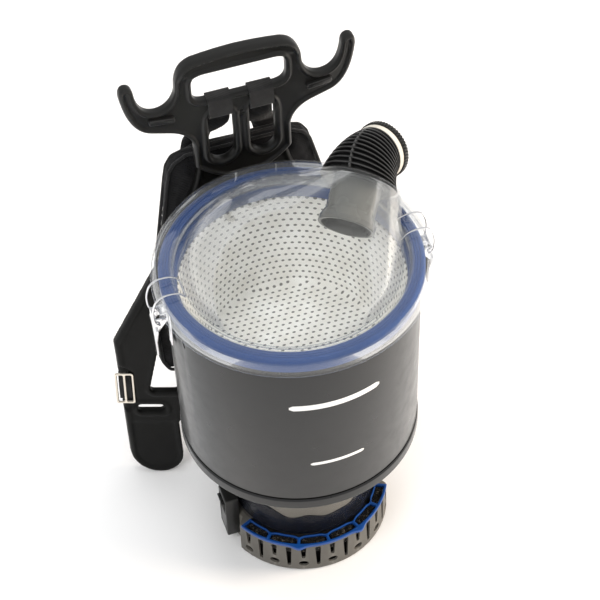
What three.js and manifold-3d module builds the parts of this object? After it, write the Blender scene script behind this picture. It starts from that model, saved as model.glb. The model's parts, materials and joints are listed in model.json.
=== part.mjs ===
// Backpack vacuum cleaner: a round canister with a clear lid, a motor base and a back harness.
// Millimetres, +Z up. The canister's axis is the Z axis, the floor is z = 0 and the wearer is at +Y.
import * as THREE from 'three';
import { mergeVertices } from 'three/addons/utils/BufferGeometryUtils.js';
import { ConvexGeometry } from 'three/addons/geometries/ConvexGeometry.js';
import Module from 'manifold-3d';

const wasm = await Module();
wasm.setup();

// ---------------------------------------------------------------- driving dimensions
const gap = 0.3;                 // clearance between pieces that rest on each other
const roundSegments = 24;        // facets of the large round pieces

const canisterTopR = 139;        // outer radius at the rim
const canisterLowR = 135.3;      // outer radius at the foot of the wall
const canisterTopZ = 413;
const canisterLowZ = 186;
const canisterWall = 3;
const panR = 136.4;              // base pan, the flared band under the wall
const panZ = 168;
const panFloor = 4;
const intakeR = 52;              // air hole in the pan's floor

const ringOuterR = 143;          // blue filter ring
const ringInnerR = 127;
const ringTopZ = 430;
const bagTopR = 124;             // filter bag
const bagFloorR = 97;
const bagTopZ = 399.5;
const bagFloorZ = 290;
const bagWall = 1.6;

const lidWall = 2.6;             // clear lid
const lidSegments = 36;
const lidSkirtR = 152;
const lidSkirtZ = 415;
const lidTopZ = 435;
const valleyR = 123.6;           // groove between the flange and the dome
const valleyZ = 426;
const domeR = 126.7;
const domeCentreZ = 385;
const domeBaseZ = 425;

const bossCentre = new THREE.Vector3(92.5, 46.5, 470.5);                // end face of the inlet boss
const bossAxis = new THREE.Vector3(0.53, 0.72, 0.45).normalize();
const bossR = 48;
const inletHoleR = 28;
const hoseAxis = new THREE.Vector3(0.8, 0.54, -0.25).normalize();   // where the hose leaves
const elbowBaseR = 43;
const elbowEndR = 30.5;
const elbowChord = 44;
const elbowBoreR = 20;
const elbowRibs = 8;
const ribHeight = 2.6;

const neckR = 85.5;              // motor housing
const neckWall = 3;
const neckTopZ = 167.6;
const neckLowZ = 48.4;
const shaftR = 4;

const footR = 100;               // slotted foot, front part
const footRearR = 91;
const footWall = 3;
const footHeight = 46;
const footFront = [-158, -22];   // degrees, the stretch of the larger radius
const exhaustArc = [-154, -26];
const exhaustDividers = [-133, -111, -90, -67, -45];
const exhaustInnerR = 86;
const exhaustOuterR = 101;
const exhaustTopZ = 50.5;

const latchPivot = [146.9, 400.25];      // radial distance and height
const bailPivot = [152.5, 397];
const wireR = 1.1;
const bailHalf = 12.5;           // half the distance between a bail's two arms

const headFrontY = 165;          // harness head
const headDepth = 14;
const frameDepth = 12;           // back frame
const frameTopZ = 424;
const padGap = 1;
const padDepth = 24;
const wingX = 177;
const wingZ = [177, 196];
const tongueX = 150;
const tongueR = 30;
const adjusterX = 174.5;
const adjusterZ = 130;

// ---------------------------------------------------------------- helpers
const radians = THREE.MathUtils.degToRad;
const zAxis = new THREE.Vector3(0, 0, 1);

function facingOut(geometry) {
  const bare = new THREE.BufferGeometry();
  bare.setAttribute('position', geometry.getAttribute('position'));
  bare.setIndex(geometry.index);
  const merged = mergeVertices(bare, 1e-4);
  const place = merged.getAttribute('position');
  const index = merged.index.array;
  const kept = [];
  let volume = 0;
  const [a, b, c] = [new THREE.Vector3(), new THREE.Vector3(), new THREE.Vector3()];
  for (let i = 0; i < index.length; i += 3) {
    const corners = [index[i], index[i + 1], index[i + 2]];
    if (new Set(corners).size < 3) continue;
    a.fromBufferAttribute(place, corners[0]);
    b.fromBufferAttribute(place, corners[1]);
    c.fromBufferAttribute(place, corners[2]);
    volume += a.dot(b.cross(c));
    kept.push(...corners);
  }
  if (volume < 0) kept.reverse();
  merged.setIndex(kept);
  return merged;
}

function solid(geometry) {
  const closed = facingOut(geometry);
  return new wasm.Manifold(new wasm.Mesh({
    numProp: 3,
    vertProperties: new Float32Array(closed.getAttribute('position').array),
    triVerts: new Uint32Array(closed.index.array),
  }));
}

function geometryOf(shape) {
  const raw = shape.getMesh();
  const geometry = new THREE.BufferGeometry();
  geometry.setAttribute('position', new THREE.BufferAttribute(raw.vertProperties, 3));
  geometry.setIndex(new THREE.BufferAttribute(raw.triVerts, 1));
  return geometry;
}

function joined(...shapes) {
  return shapes.reduce((sum, shape) => sum.add(shape));
}

function cut(shape, ...cutters) {
  return cutters.reduce((rest, cutter) => rest.subtract(cutter), shape);
}

// A solid of revolution about Z from a closed list of [radius, height].
function turned(profile, segments = roundSegments) {
  const points = [...profile, profile[0]].map(([r, z]) => new THREE.Vector2(r, z));
  return solid(new THREE.LatheGeometry(points, segments).rotateX(Math.PI / 2));
}

function tube(outer, inner, z0, z1, segments = roundSegments) {
  return turned([[inner, z0], [outer, z0], [outer, z1], [inner, z1]], segments);
}

function disc(radius, z0, z1, segments = roundSegments) {
  return solid(new THREE.CylinderGeometry(radius, radius, z1 - z0, segments)
    .rotateX(Math.PI / 2).translate(0, 0, (z0 + z1) / 2));
}

function block(x0, x1, y0, y1, z0, z1) {
  return solid(new THREE.BoxGeometry(x1 - x0, y1 - y0, z1 - z0)
    .translate((x0 + x1) / 2, (y0 + y1) / 2, (z0 + z1) / 2));
}

// A flat outline in X and Z, made thick along Y.
function plate(outline, y0, y1, curveSegments = 4) {
  const depth = y1 - y0;
  const geometry = new THREE.ExtrudeGeometry(outline, { depth, bevelEnabled: false, curveSegments });
  return solid(geometry.rotateX(Math.PI / 2).translate(0, y1, 0));
}

// A flat outline in X and Y, made thick along Z.
function deck(outline, z0, z1, curveSegments = 12) {
  const geometry = new THREE.ExtrudeGeometry(outline,
    { depth: z1 - z0, bevelEnabled: false, curveSegments });
  return solid(geometry.translate(0, 0, z0));
}

function outlineOf(points) {
  return new THREE.Shape(points.map(([x, z]) => new THREE.Vector2(x, z)));
}

// A piece of a ring between two angles in degrees.
function sector(inner, outer, from, to, z0, z1) {
  const shape = new THREE.Shape();
  shape.absarc(0, 0, outer, radians(from), radians(to), false);
  shape.absarc(0, 0, inner, radians(to), radians(from), true);
  return deck(shape, z0, z1, Math.max(2, Math.ceil(Math.abs(to - from) / 8)));
}

function moved(shape, matrix) {
  return shape.transform(matrix.elements);
}

function spun(shape, degrees) {
  return shape.rotate([0, 0, degrees]);
}

// The matrix that takes a piece made about Z to a point and a direction.
function aimed(point, direction) {
  const turn = new THREE.Quaternion().setFromUnitVectors(zAxis, direction);
  return new THREE.Matrix4().compose(point, turn, new THREE.Vector3(1, 1, 1));
}

// A closed skin through a cycle of rings, each a list of points.
function lofted(rings, cyclic) {
  const n = rings[0].length;
  const position = rings.flat().flatMap((p) => [p.x, p.y, p.z]);
  const index = [];
  const last = cyclic ? rings.length : rings.length - 1;
  for (let i = 0; i < last; i += 1) {
    const here = i * n;
    const next = ((i + 1) % rings.length) * n;
    for (let j = 0; j < n; j += 1) {
      const k = (j + 1) % n;
      index.push(here + j, here + k, next + k, here + j, next + k, next + j);
    }
  }
  if (!cyclic) {
    const end = (rings.length - 1) * n;
    for (let j = 1; j < n - 1; j += 1) {
      index.push(0, j + 1, j, end, end + j, end + j + 1);
    }
  }
  const geometry = new THREE.BufferGeometry();
  geometry.setAttribute('position', new THREE.Float32BufferAttribute(position, 3));
  geometry.setIndex(index);
  return solid(geometry);
}

// A flat strap through points, with its width along the given directions.
function strap(points, across, width, thickness) {
  const rings = points.map((point, i) => {
    const before = points[Math.max(i - 1, 0)];
    const after = points[Math.min(i + 1, points.length - 1)];
    const side = across[Math.min(i, across.length - 1)].clone().normalize();
    const along = after.clone().sub(before).normalize();
    const normal = along.cross(side).normalize();
    return [[-1, -1], [1, -1], [1, 1], [-1, 1]].map(([s, t]) => point.clone()
      .addScaledVector(side, s * width / 2).addScaledVector(normal, t * thickness / 2));
  });
  return lofted(rings, false);
}

function wire(points, radius, sides = 3, stepsPerPoint = 2) {
  const curve = new THREE.CatmullRomCurve3(points, false, 'centripetal');
  const section = new THREE.Shape();
  section.absarc(0, 0, radius, 0, 2 * Math.PI, false);
  return solid(new THREE.ExtrudeGeometry(section, {
    extrudePath: curve, steps: (points.length - 1) * stepsPerPoint,
    curveSegments: sides, bevelEnabled: false,
  }));
}

// ---------------------------------------------------------------- materials
function plastic(color, roughness = 0.5, extra = {}) {
  return new THREE.MeshStandardMaterial({ color, roughness, metalness: 0, ...extra });
}
function metal(color, roughness) {
  return new THREE.MeshStandardMaterial({ color, roughness, metalness: 1 });
}
const looks = {
  canister: plastic(0x5a5b5a, 0.35),
  clear: plastic(0xf2f4f4, 0.05, { transparent: true, opacity: 0.3 }),
  smoked: plastic(0x6f6e68, 0.2, { transparent: true, opacity: 0.7 }),
  ringBlue: plastic(0x4f74c8, 0.4),
  frameBlue: plastic(0x1a50a0, 0.4),
  bag: plastic(0xeeece6, 0.9),
  black: plastic(0x232322, 0.45),
  foot: plastic(0x4a4844, 0.6),
  collar: plastic(0xcfcac0, 0.5),
  foam: plastic(0x141414, 1),
  fabric: plastic(0x17181a, 0.95),
  rubber: plastic(0x1b1b1b, 0.8),
  chrome: metal(0xdadada, 0.15),
  nickel: metal(0xcfc7b8, 0.25),
  steel: metal(0x9a9a9a, 0.35),
  copper: metal(0xa8683c, 0.4),
  carbon: plastic(0x2b2b2b, 0.7),
};

const model = new THREE.Group();
function add(name, shape, look) {
  const mesh = new THREE.Mesh(geometryOf(shape), looks[look]);
  mesh.name = name;
  model.add(mesh);
}

// ---------------------------------------------------------------- canister and filters
function canisterBody(grow = 0) {
  return turned([
    [canisterLowR - canisterWall, canisterLowZ], [canisterLowR + grow, canisterLowZ],
    [canisterTopR + grow, canisterTopZ], [canisterTopR - canisterWall, canisterTopZ],
  ]);
}

function canister() {
  const pressureSlot = spun(block(canisterLowR - 8, canisterTopR + 4, -1.6, 1.6, 378, 388), 195);
  return cut(canisterBody(), pressureSlot);
}

function canisterBase() {
  const spigotR = canisterLowR - canisterWall - gap - 0.4;
  return turned([
    [intakeR, panZ], [panR - 2, panZ], [panR, panZ + 3], [panR, canisterLowZ - 3],
    [panR - 2, canisterLowZ - gap - 0.5], [spigotR, canisterLowZ - gap - 0.5], [spigotR, 200],
    [spigotR - 3, 200], [spigotR - 3, panZ + panFloor], [intakeR, panZ + panFloor],
  ]);
}

const filterSeatZ = panZ + panFloor + gap;
const retainerTopZ = filterSeatZ + 15;

function filterRetainer() {
  const cap = turned([[0, retainerTopZ], [66, retainerTopZ], [66, filterSeatZ], [62, filterSeatZ],
    [62, retainerTopZ - 3], [0, retainerTopZ - 3]]);
  const slots = [0, 60, 120, 180, 240, 300].map((angle) =>
    spun(block(16, 54, -6, 6, retainerTopZ - 5, retainerTopZ + 2), angle));
  return cut(cap, ...slots);
}

function filterRing() {
  return turned([
    [ringInnerR - 3, 400.2], [ringInnerR, 400.2], [ringInnerR + 2, canisterTopZ + gap],
    [ringOuterR, canisterTopZ + gap], [ringOuterR, ringTopZ - 4], [ringOuterR - 3, ringTopZ],
    [ringInnerR + 1.8, ringTopZ], [ringInnerR + 0.8, ringTopZ - 6], [ringInnerR + 0.8, canisterTopZ + 4],
    [ringInnerR - 3, canisterTopZ],
  ], lidSegments);
}

function filterBag() {
  return turned([
    [0, bagFloorZ], [bagFloorR - 8, bagFloorZ], [bagFloorR, bagFloorZ + 6],
    [bagTopR, bagTopZ - 12], [bagTopR + 4, bagTopZ - 4], [bagTopR + 4, bagTopZ],
    [bagTopR - bagWall, bagTopZ], [bagTopR - bagWall, bagTopZ - 12],
    [bagFloorR - bagWall, bagFloorZ + 6 + bagWall], [bagFloorR - 8, bagFloorZ + bagWall],
    [0, bagFloorZ + bagWall],
  ]);
}

// ---------------------------------------------------------------- lid and inlet
// The hull of a dome cap and the round end of the inlet boss.
function domeHull(shrink, baseZ) {
  const points = [];
  const radius = domeR - shrink;
  const low = Math.asin((baseZ - domeCentreZ) / radius);
  const rows = 5;
  for (let i = 0; i < rows; i += 1) {
    const tilt = low + (Math.PI / 2 - low) * (i / rows);
    for (let j = 0; j < lidSegments; j += 1) {
      const angle = (j * 2 * Math.PI) / lidSegments;
      points.push(new THREE.Vector3(radius * Math.cos(tilt) * Math.cos(angle),
        radius * Math.cos(tilt) * Math.sin(angle), domeCentreZ + radius * Math.sin(tilt)));
    }
  }
  points.push(new THREE.Vector3(0, 0, domeCentreZ + radius));
  const place = aimed(bossCentre.clone().addScaledVector(bossAxis, -shrink), bossAxis);
  for (let j = 0; j < 16; j += 1) {
    const angle = (j * 2 * Math.PI) / 16;
    points.push(new THREE.Vector3((bossR - shrink) * Math.cos(angle),
      (bossR - shrink) * Math.sin(angle), 0).applyMatrix4(place));
  }
  return solid(new ConvexGeometry(points));
}

// The dome with the flats that the hose elbow, the filter ring and the right latch need.
function domeBody(shrink, baseZ) {
  const seat = alongBoss(disc(bossR + 2 + shrink, -shrink, 40, 24));
  const ringRoom = tube(200, valleyR + lidWall - shrink, 380, ringTopZ + 1 + shrink);
  const latchRoom = block(118.9 - shrink, 200, -18 - shrink, 18 + shrink, valleyZ, 458 + shrink);
  return cut(domeHull(shrink, baseZ), seat, ringRoom, latchRoom);
}

function lid() {
  const t = lidWall;
  const flange = turned([
    [lidSkirtR - t, lidSkirtZ], [lidSkirtR, lidSkirtZ], [lidSkirtR - 2, lidTopZ - 6],
    [lidSkirtR - 6, lidTopZ], [valleyR + 5, lidTopZ], [valleyR + 1, valleyZ + 5],
    [valleyR, valleyZ], [valleyR - 5.4, valleyZ], [valleyR - 5.4, valleyZ - t],
    [valleyR + t, valleyZ - t], [valleyR + t + 0.4, valleyZ + 3],
    [valleyR + 7, lidTopZ - t], [lidSkirtR - 7, lidTopZ - t], [lidSkirtR - t - 2, lidTopZ - 7],
  ], lidSegments);
  const hole = moved(disc(inletHoleR + gap, -20, 20, 28), aimed(bossCentre, bossAxis));
  return cut(joined(domeBody(0, domeBaseZ), flange), domeBody(t, domeBaseZ - 4), hole);
}

function alongBoss(shape) {
  return moved(shape, aimed(bossCentre, bossAxis));
}

function inletTube() {
  return alongBoss(turned([
    [26, -52], [31.5, -52], [31.5, -46], [27.2, -38], [27.2, -lidWall - gap], [28, -lidWall - gap],
    [28, -0.4], [24, -0.4],
  ], 20));
}

function swivelRetainer() {
  return alongBoss(tube(37, 28.6, -lidWall - gap - 3, -lidWall - gap, 20));
}

// Centre, direction and turn of the elbow's bend at a fraction from 0 to 1.
const bendPlane = new THREE.Vector3().crossVectors(bossAxis, hoseAxis).normalize();
const bendAngle = bossAxis.angleTo(hoseAxis);
const bendRadius = elbowChord / (2 * Math.sin(bendAngle / 2));
const elbowStart = bossCentre.clone().addScaledVector(bossAxis, gap);

function elbowAt(fraction) {
  const inward = new THREE.Vector3().crossVectors(bendPlane, bossAxis);
  const centre = elbowStart.clone().addScaledVector(inward, bendRadius);
  const turn = bendAngle * fraction;
  const spoke = inward.clone().negate().applyAxisAngle(bendPlane, turn);
  const point = centre.addScaledVector(spoke, bendRadius);
  const direction = bossAxis.clone().applyAxisAngle(bendPlane, turn);
  return { point, direction, spoke };
}

function elbowRing(fraction, radius, sides = 14) {
  const { point, direction, spoke } = elbowAt(fraction);
  const side = new THREE.Vector3().crossVectors(direction, spoke);
  return Array.from({ length: sides }, (_, j) => {
    const angle = (j * 2 * Math.PI) / sides;
    return point.clone().addScaledVector(spoke, radius * Math.cos(angle))
      .addScaledVector(side, radius * Math.sin(angle));
  });
}

function hoseElbow() {
  const rings = [];
  const step = 1 / elbowRibs;
  for (let i = 0; i < elbowRibs; i += 1) {
    const start = i * step;
    const core = (t) => elbowBaseR + (elbowEndR - elbowBaseR) * t;
    rings.push(elbowRing(start, core(start)), elbowRing(start + 0.45 * step, core(start)));
    rings.push(elbowRing(start + 0.55 * step, core(start) - ribHeight));
    rings.push(elbowRing(start + 0.95 * step, core(start + step) - ribHeight));
  }
  rings.push(elbowRing(1, elbowEndR));
  for (let i = 4; i >= 0; i -= 1) rings.push(elbowRing(i / 4, elbowBoreR + 3 * (1 - i / 4)));
  return lofted(rings, true);
}

function alongHose(shape) {
  const end = elbowAt(1);
  return moved(shape, aimed(end.point.addScaledVector(hoseAxis, gap), hoseAxis));
}

const collarLength = 9;
const lockRingR = 32.5;

function elbowCollar() {
  return alongHose(turned([
    [elbowBoreR, 0], [31, 0], [31, 4], [26, 4], [26, collarLength + 6], [elbowBoreR, collarLength + 6],
  ], 20));
}

function hoseLockRing() {
  const ring = tube(lockRingR, 26.3, 4.3, 4.3 + 10, 22);
  const notches = Array.from({ length: 8 }, (_, i) =>
    spun(block(lockRingR - 1.2, lockRingR + 2, -1.4, 1.4, 3, 16), (i * 360) / 8 + 6));
  return alongHose(cut(ring, ...notches));
}

// ---------------------------------------------------------------- motor
function motorHousing() {
  return turned([
    [60, neckTopZ], [neckR, neckTopZ], [neckR, neckLowZ], [neckR - neckWall, neckLowZ],
    [neckR - neckWall, neckTopZ - 4], [60, neckTopZ - 4],
  ]);
}

// The motor's pieces are drawn about a shaft whose lower end is at z = 66, then lowered.
const motorDrop = -6;

function lowered(shape) {
  return shape.translate([0, 0, motorDrop]);
}

function fanCase() {
  return turned([[24, 168], [78, 168], [78, 131], [9, 131], [9, 134], [75, 134], [75, 165],
    [24, 165]], 24);
}

function impeller() {
  const wheel = turned([[shaftR + gap, 137], [68, 137], [68, 139], [12, 139], [10, 158],
    [shaftR + gap, 158]], 20);
  const blades = Array.from({ length: 8 }, (_, i) =>
    spun(block(0, 46, -1, 1, 138.5, 156).rotate([0, 0, 28]).translate([22, -12, 0]), i * 45));
  return joined(wheel, ...blades.map((blade) => blade.intersect(disc(68, 130, 160, 24))));
}

function motorCan() {
  return turned([[12.3, 130.7], [50, 130.7], [50, 73], [12.3, 73], [12.3, 77], [46.5, 77],
    [46.5, 126.7], [12.3, 126.7]], 24);
}

function armature() {
  return turned([[shaftR + gap, 78.5], [11.5, 78.5], [11.5, 85], [27, 88], [27, 118],
    [12, 122], [shaftR + gap, 122]], 16);
}

function bearing(z) {
  return tube(12, shaftR + gap, z, z + 4, 20);
}

function brush(side) {
  const [inner, outer] = [11.9, 45.6].map((x) => x * side);
  return block(Math.min(inner, outer), Math.max(inner, outer), -3.5, 3.5, 79, 84);
}

// ---------------------------------------------------------------- base
function footOutline(inset) {
  const [from, to] = footFront.map(radians);
  const shape = new THREE.Shape();
  shape.absarc(0, 0, footR - inset, from + inset / footR, to - inset / footR, false);
  shape.absarc(0, 0, footRearR - inset, to - inset / footR, from + 2 * Math.PI + inset / footR, false);
  shape.closePath();
  return shape;
}

const switchBox = { x: [-103, -86.4], y: [-26, 2], z: [12, 78] };
const shelfZ = 30;

function switchSpace(grow) {
  const { x, y, z } = switchBox;
  return block(x[0] - grow, x[1] + grow, y[0] - grow, y[1] + grow, z[0] - grow, z[1] + grow);
}

const glandAngle = 125;
const glandZ = 24;

function baseRing() {
  const wall = deck(footOutline(0), 0, footHeight).subtract(deck(footOutline(footWall), -1, 60));
  const rearDeck = sector(78, footRearR, -26, 206, footHeight - 0.5, footHeight + 2)
    .intersect(deck(footOutline(0), 0, 60));
  const shelf = sector(80, footR - 1, footFront[0] + 3, footFront[1] - 3, shelfZ - 3, shelfZ);
  const lugs = [-150, -30, 90].map((angle) => {
    const lug = joined(disc(6, 3.3, 20, 10).translate([76, 0, 0]), block(78, 89.5, -2, 2, 4, 20));
    return spun(lug.subtract(disc(2.6, -1, 30, 8).translate([76, 0, 0])), angle);
  });
  const webs = [-150, -30].map((angle) => spun(block(86, footR - 1, -2, 2, 4, 20), angle));
  const slots = [];
  for (let i = 0; i < 13; i += 1) {
    const angle = -150 + i * 10;
    const high = i % 2 ? 31 : 33;
    const low = i % 2 ? 8 : 20;
    if (angle !== -150 && angle !== -30) {
      slots.push(spun(block(footR - 6, footR + 4, -2.4, 2.4, low, high - 6), angle));
    }
  }
  const gland = disc(9.3, 80, 110, 20).rotate([0, 90, 0]).translate([0, 0, glandZ]);
  const body = joined(wall, rearDeck, shelf, ...lugs, ...webs);
  return cut(body, ...slots, switchSpace(gap), spun(gland, glandAngle));
}

function baseCover() {
  const plateShape = deck(footOutline(footWall + gap), 0, 3);
  const holes = [-150, -30, 90].map((angle) => spun(joined(disc(2.9, -1, 5, 8),
    disc(5.4, -1, 1.4, 8)).translate([76, 0, 0]), angle));
  return cut(plateShape, ...holes);
}

function baseScrew(angle) {
  const screw = joined(disc(4.8, 0.2, 1.1, 8), disc(2.2, 1, 16, 8));
  return spun(screw.translate([76, 0, 0]), angle);
}

function exhaustCells(shrink, z0, z1) {
  const edges = [exhaustArc[0] + 1, ...exhaustDividers, exhaustArc[1] - 1];
  return edges.slice(1).map((edge, i) => {
    const margin = 1.1 + shrink * 0.65;
    return sector(exhaustInnerR + 2.2 + shrink, exhaustOuterR - 2.6 - shrink,
      edges[i] + margin, edge - margin, z0, z1);
  });
}

function exhaustFrame() {
  const band = sector(exhaustInnerR, exhaustOuterR, ...exhaustArc, footHeight + gap, exhaustTopZ);
  const bumps = [-112, -67].map((angle) =>
    spun(block(exhaustOuterR - 2, exhaustOuterR + 5.5, -5, 5, footHeight + gap, exhaustTopZ), angle));
  return cut(joined(band, ...bumps), ...exhaustCells(0, 40, 60), switchSpace(gap));
}

function exhaustFoam() {
  const bed = sector(exhaustInnerR + 0.5, footR - footWall - 0.6, exhaustArc[0] + 1,
    exhaustArc[1] - 1, shelfZ + gap, footHeight);
  const inWall = disc(footR - footWall - 0.8, 0, 60);
  const tops = exhaustCells(0.5, footHeight - 1, exhaustTopZ - 1).map((top) => top.intersect(inWall));
  return cut(joined(bed, ...tops), switchSpace(gap * 2));
}

function switchBezel() {
  const { x, y, z } = switchBox;
  const pocket = block(x[0] - 1, x[1] - 3, y[0] + 4, y[1] - 4, z[0] + 8, z[1] - 8);
  const body = cut(switchSpace(0), pocket);
  return body.subtract(tube(120, neckR - 20, 0, 100).intersect(disc(neckR + gap, 0, 100)));
}

const rockerPivot = [-96, -12, 45];

function switchRocker() {
  const halfHeight = 23.5;
  const profile = outlineOf([[-7.5, -halfHeight], [-3, -halfHeight], [2.5, -3], [2.5, 3],
    [-3, halfHeight], [-10.5, halfHeight], [-6.5, 0]]);
  return plate(profile, rockerPivot[1] - 9.4, rockerPivot[1] + 9.4)
    .translate([rockerPivot[0], 0, rockerPivot[2]]);
}

function cordInlet() {
  const gland = turned([[4, 83], [12, 83], [12, 86.5], [8.8, 86.5], [8.8, 96], [7.5, 106], [4, 106]],
    20).rotate([0, 90, 0]).translate([0, 0, glandZ]);
  return spun(gland, glandAngle);
}

// ---------------------------------------------------------------- latches
// Each latch is made at +X, where the radial direction is X and the width is along Y.
const leverTipZ = 337;
const pinR = 2;

function crossHole(radius, [x, z], half) {
  return solid(new THREE.CylinderGeometry(radius, radius, 2 * half, 8)).translate([x, 0, z]);
}

function latchBracket() {
  const backplate = block(139.5, 141.6, -13, 13, 360, 408);
  const ears = [-1, 1].map((side) => block(141, 150, side * 5.75 - 1.25, side * 5.75 + 1.25, 394, 407));
  return cut(joined(backplate, ...ears), crossHole(pinR + gap, latchPivot, 20),
    canisterBody(gap));
}

function latchPin() {
  return crossHole(pinR, latchPivot, 10.8);
}

function latchLever() {
  const face = new THREE.Shape([[-10.2, 403], [-10.2, 393], [-14, 389], [-14, 384], [-5, 362], [-4, 340], [-1.5, leverTipZ],
    [1.5, leverTipZ], [4, 340], [5, 362], [14, 384], [14, 389],
    [10.2, 393], [10.2, 403]]
    .map(([y, z]) => new THREE.Vector2(y, z)));
  const panel = plate(face, -2, 0).rotate([0, 0, 90]).translate([155, 0, 0]);
  const cheekShape = outlineOf([[143.6, 397], [143.6, 403], [156, 403], [156, 380], [151, 388]]);
  const cheeks = [-1, 1].map((side) => plate(cheekShape, side * 9 - 1, side * 9 + 1));
  return cut(joined(panel, ...cheeks), crossHole(pinR + gap, latchPivot, 20),
    crossHole(wireR + gap, bailPivot, 20));
}

// Two arms over the lid's rim, a crossbar in its groove and a hook in each cheek of the lever.
function latchBail() {
  const arc = [bailPivot, [157.2, 406], [157.6, 420], [152.5, 434.5], [141, 439.4], [130, 438.6],
    [121.8, 433.6], [120.7, 429.6]];
  const arms = [-1, 1].map((side) => joined(
    wire(arc.map(([x, z]) => new THREE.Vector3(x, side * bailHalf, z)), wireR),
    crossHole(wireR, bailPivot, 2.6).translate([0, side * (bailHalf - 2.1), 0]),
  ));
  const crossbar = crossHole(wireR, arc.at(-1), bailHalf + wireR);
  return joined(crossbar, ...arms);
}

// ---------------------------------------------------------------- harness
// Half of the head's outline, from the foot of the crescent to the middle of the handle.
function headOutline(grow = 0) {
  const shape = new THREE.Shape();
  const half = [
    ['move', 0, 403], ['curve', 34, 406, 56, 431], ['line', 56, 464],
    ['curve', 60, 485, 82, 492], ['line', 104, 499], ['curve', 127, 508, 133, 558],
    ['curve', 133, 570, 125.5, 570.5], ['curve', 117, 570, 116.5, 559],
    ['curve', 113, 527, 94, 526.5], ['curve', 78, 527, 72, 548],
    ['line', 71, 562], ['curve', 67, 582, 50, 586], ['curve', 25, 589.5, 0, 590],
  ];
  half.forEach(([kind, ...at]) => {
    if (kind === 'move') shape.moveTo(at[0], at[1] - grow);
    if (kind === 'line') shape.lineTo(at[0] + grow, at[1]);
    if (kind === 'curve') shape.quadraticCurveTo(at[0] + grow, at[1] - grow, at[2] + grow, at[3]);
  });
  for (let i = half.length - 1; i > 0; i -= 1) {
    const [kind, ...at] = half[i];
    const before = half[i - 1].slice(-2);
    const end = [-before[0] - (i > 1 ? grow : 0), before[1] - (i > 1 ? 0 : grow)];
    if (kind === 'line') shape.lineTo(...end);
    if (kind === 'curve') shape.quadraticCurveTo(-at[0] - grow, at[1] - grow, ...end);
  }
  return shape;
}

function stadium(x, halfWidth, low, high) {
  const hole = new THREE.Path();
  hole.absarc(x, high - halfWidth, halfWidth, 0, Math.PI, false);
  hole.absarc(x, low + halfWidth, halfWidth, Math.PI, 2 * Math.PI, false);
  return hole;
}

function roundedSlot(halfX, low, high, corner) {
  const hole = new THREE.Path();
  hole.absarc(halfX - corner, high - corner, corner, 0, Math.PI / 2, false);
  hole.absarc(-halfX + corner, high - corner, corner, Math.PI / 2, Math.PI, false);
  hole.absarc(-halfX + corner, low + corner, corner, Math.PI, 1.5 * Math.PI, false);
  hole.absarc(halfX - corner, low + corner, corner, 1.5 * Math.PI, 2 * Math.PI, false);
  return hole;
}

const strapSlotX = 23.6;
const strapSlot = [14.5, 433, 511];        // half width, low end, high end
const handOpening = [53, 527, 566, 14];    // half width, low, high, corner radius

function harnessHead() {
  const outline = headOutline();
  outline.holes.push(roundedSlot(...handOpening), stadium(strapSlotX, ...strapSlot),
    stadium(-strapSlotX, ...strapSlot));
  return plate(outline, headFrontY, headFrontY + headDepth, 5);
}

function smooth(value, low, high) {
  const t = THREE.MathUtils.clamp((value - low) / (high - low), 0, 1);
  return t * t * (3 - 2 * t);
}

// Distance of the back frame's front face from the canister's axis.
function spineY(z) {
  if (z > 400) return 172;
  if (z > 180) return 155 + (17 * (z - 180)) / 220;
  return 155 - 25 * Math.min((180 - z) / 80, 1);
}

function frameFrontY(x, z) {
  const side = Math.abs(x);
  const wing = 102 + 0.36 * (side - 150) + 0.197 * z;
  const blend = smooth(side, 70, 120);
  return (1 - blend) * spineY(z) + blend * wing;
}

// A curved slab that follows the frame's front face.
function curvedSlab(near, far) {
  const [x1, z0, z1, cell] = [192, -2, 456, 26];
  const columns = Math.ceil((2 * x1) / cell);
  const rows = Math.ceil((z1 - z0) / cell);
  const layers = [near, far].map((offset) => {
    const points = [];
    for (let i = 0; i <= rows; i += 1) {
      for (let j = 0; j <= columns; j += 1) {
        const x = -x1 + (2 * x1 * j) / columns;
        const z = z0 + ((z1 - z0) * i) / rows;
        points.push(x, frameFrontY(x, z) + offset, z);
      }
    }
    return points;
  });
  const wide = columns + 1;
  const count = wide * (rows + 1);
  const index = [];
  const quad = (a, b, c, d) => index.push(a, b, c, a, c, d);
  for (let i = 0; i < rows; i += 1) {
    for (let j = 0; j < columns; j += 1) {
      const a = i * wide + j;
      quad(a, a + 1, a + 1 + wide, a + wide);
      quad(count + a, count + a + wide, count + a + 1 + wide, count + a + 1);
    }
  }
  for (let j = 0; j < columns; j += 1) {
    const top = rows * wide + j;
    quad(j + 1, j, count + j, count + j + 1);
    quad(top, top + 1, count + top + 1, count + top);
  }
  for (let i = 0; i < rows; i += 1) {
    const a = i * wide;
    const b = a + columns;
    quad(a, a + wide, count + a + wide, count + a);
    quad(b + wide, b, count + b, count + b + wide);
  }
  const geometry = new THREE.BufferGeometry();
  geometry.setAttribute('position', new THREE.Float32BufferAttribute(layers.flat(), 3));
  geometry.setIndex(index);
  return solid(geometry);
}

function mirrored(points) {
  return [...points, ...points.slice().reverse().map(([x, z]) => [-x, z])];
}

function frameOutline() {
  const foot = Array.from({ length: 9 }, (_, i) => {
    const angle = (-Math.PI * i) / 8;
    return [tongueX + tongueR * Math.cos(angle), tongueR + tongueR * Math.sin(angle)];
  });
  return outlineOf(mirrored([[52, frameTopZ], [57, 402], [64, 384], [122, 295],
    [wingX, wingZ[1]], [wingX, wingZ[0]], ...foot, [119, 80], [108, 84], [88, 94], [30, 94]]));
}

const frameScrews = [[-28, 376], [28, 376], [-28, 238], [28, 238]];

function screwSpot([x, z], y) {
  return new THREE.Matrix4().makeRotationX(-Math.PI / 2).setPosition(x, y, z);
}

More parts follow.
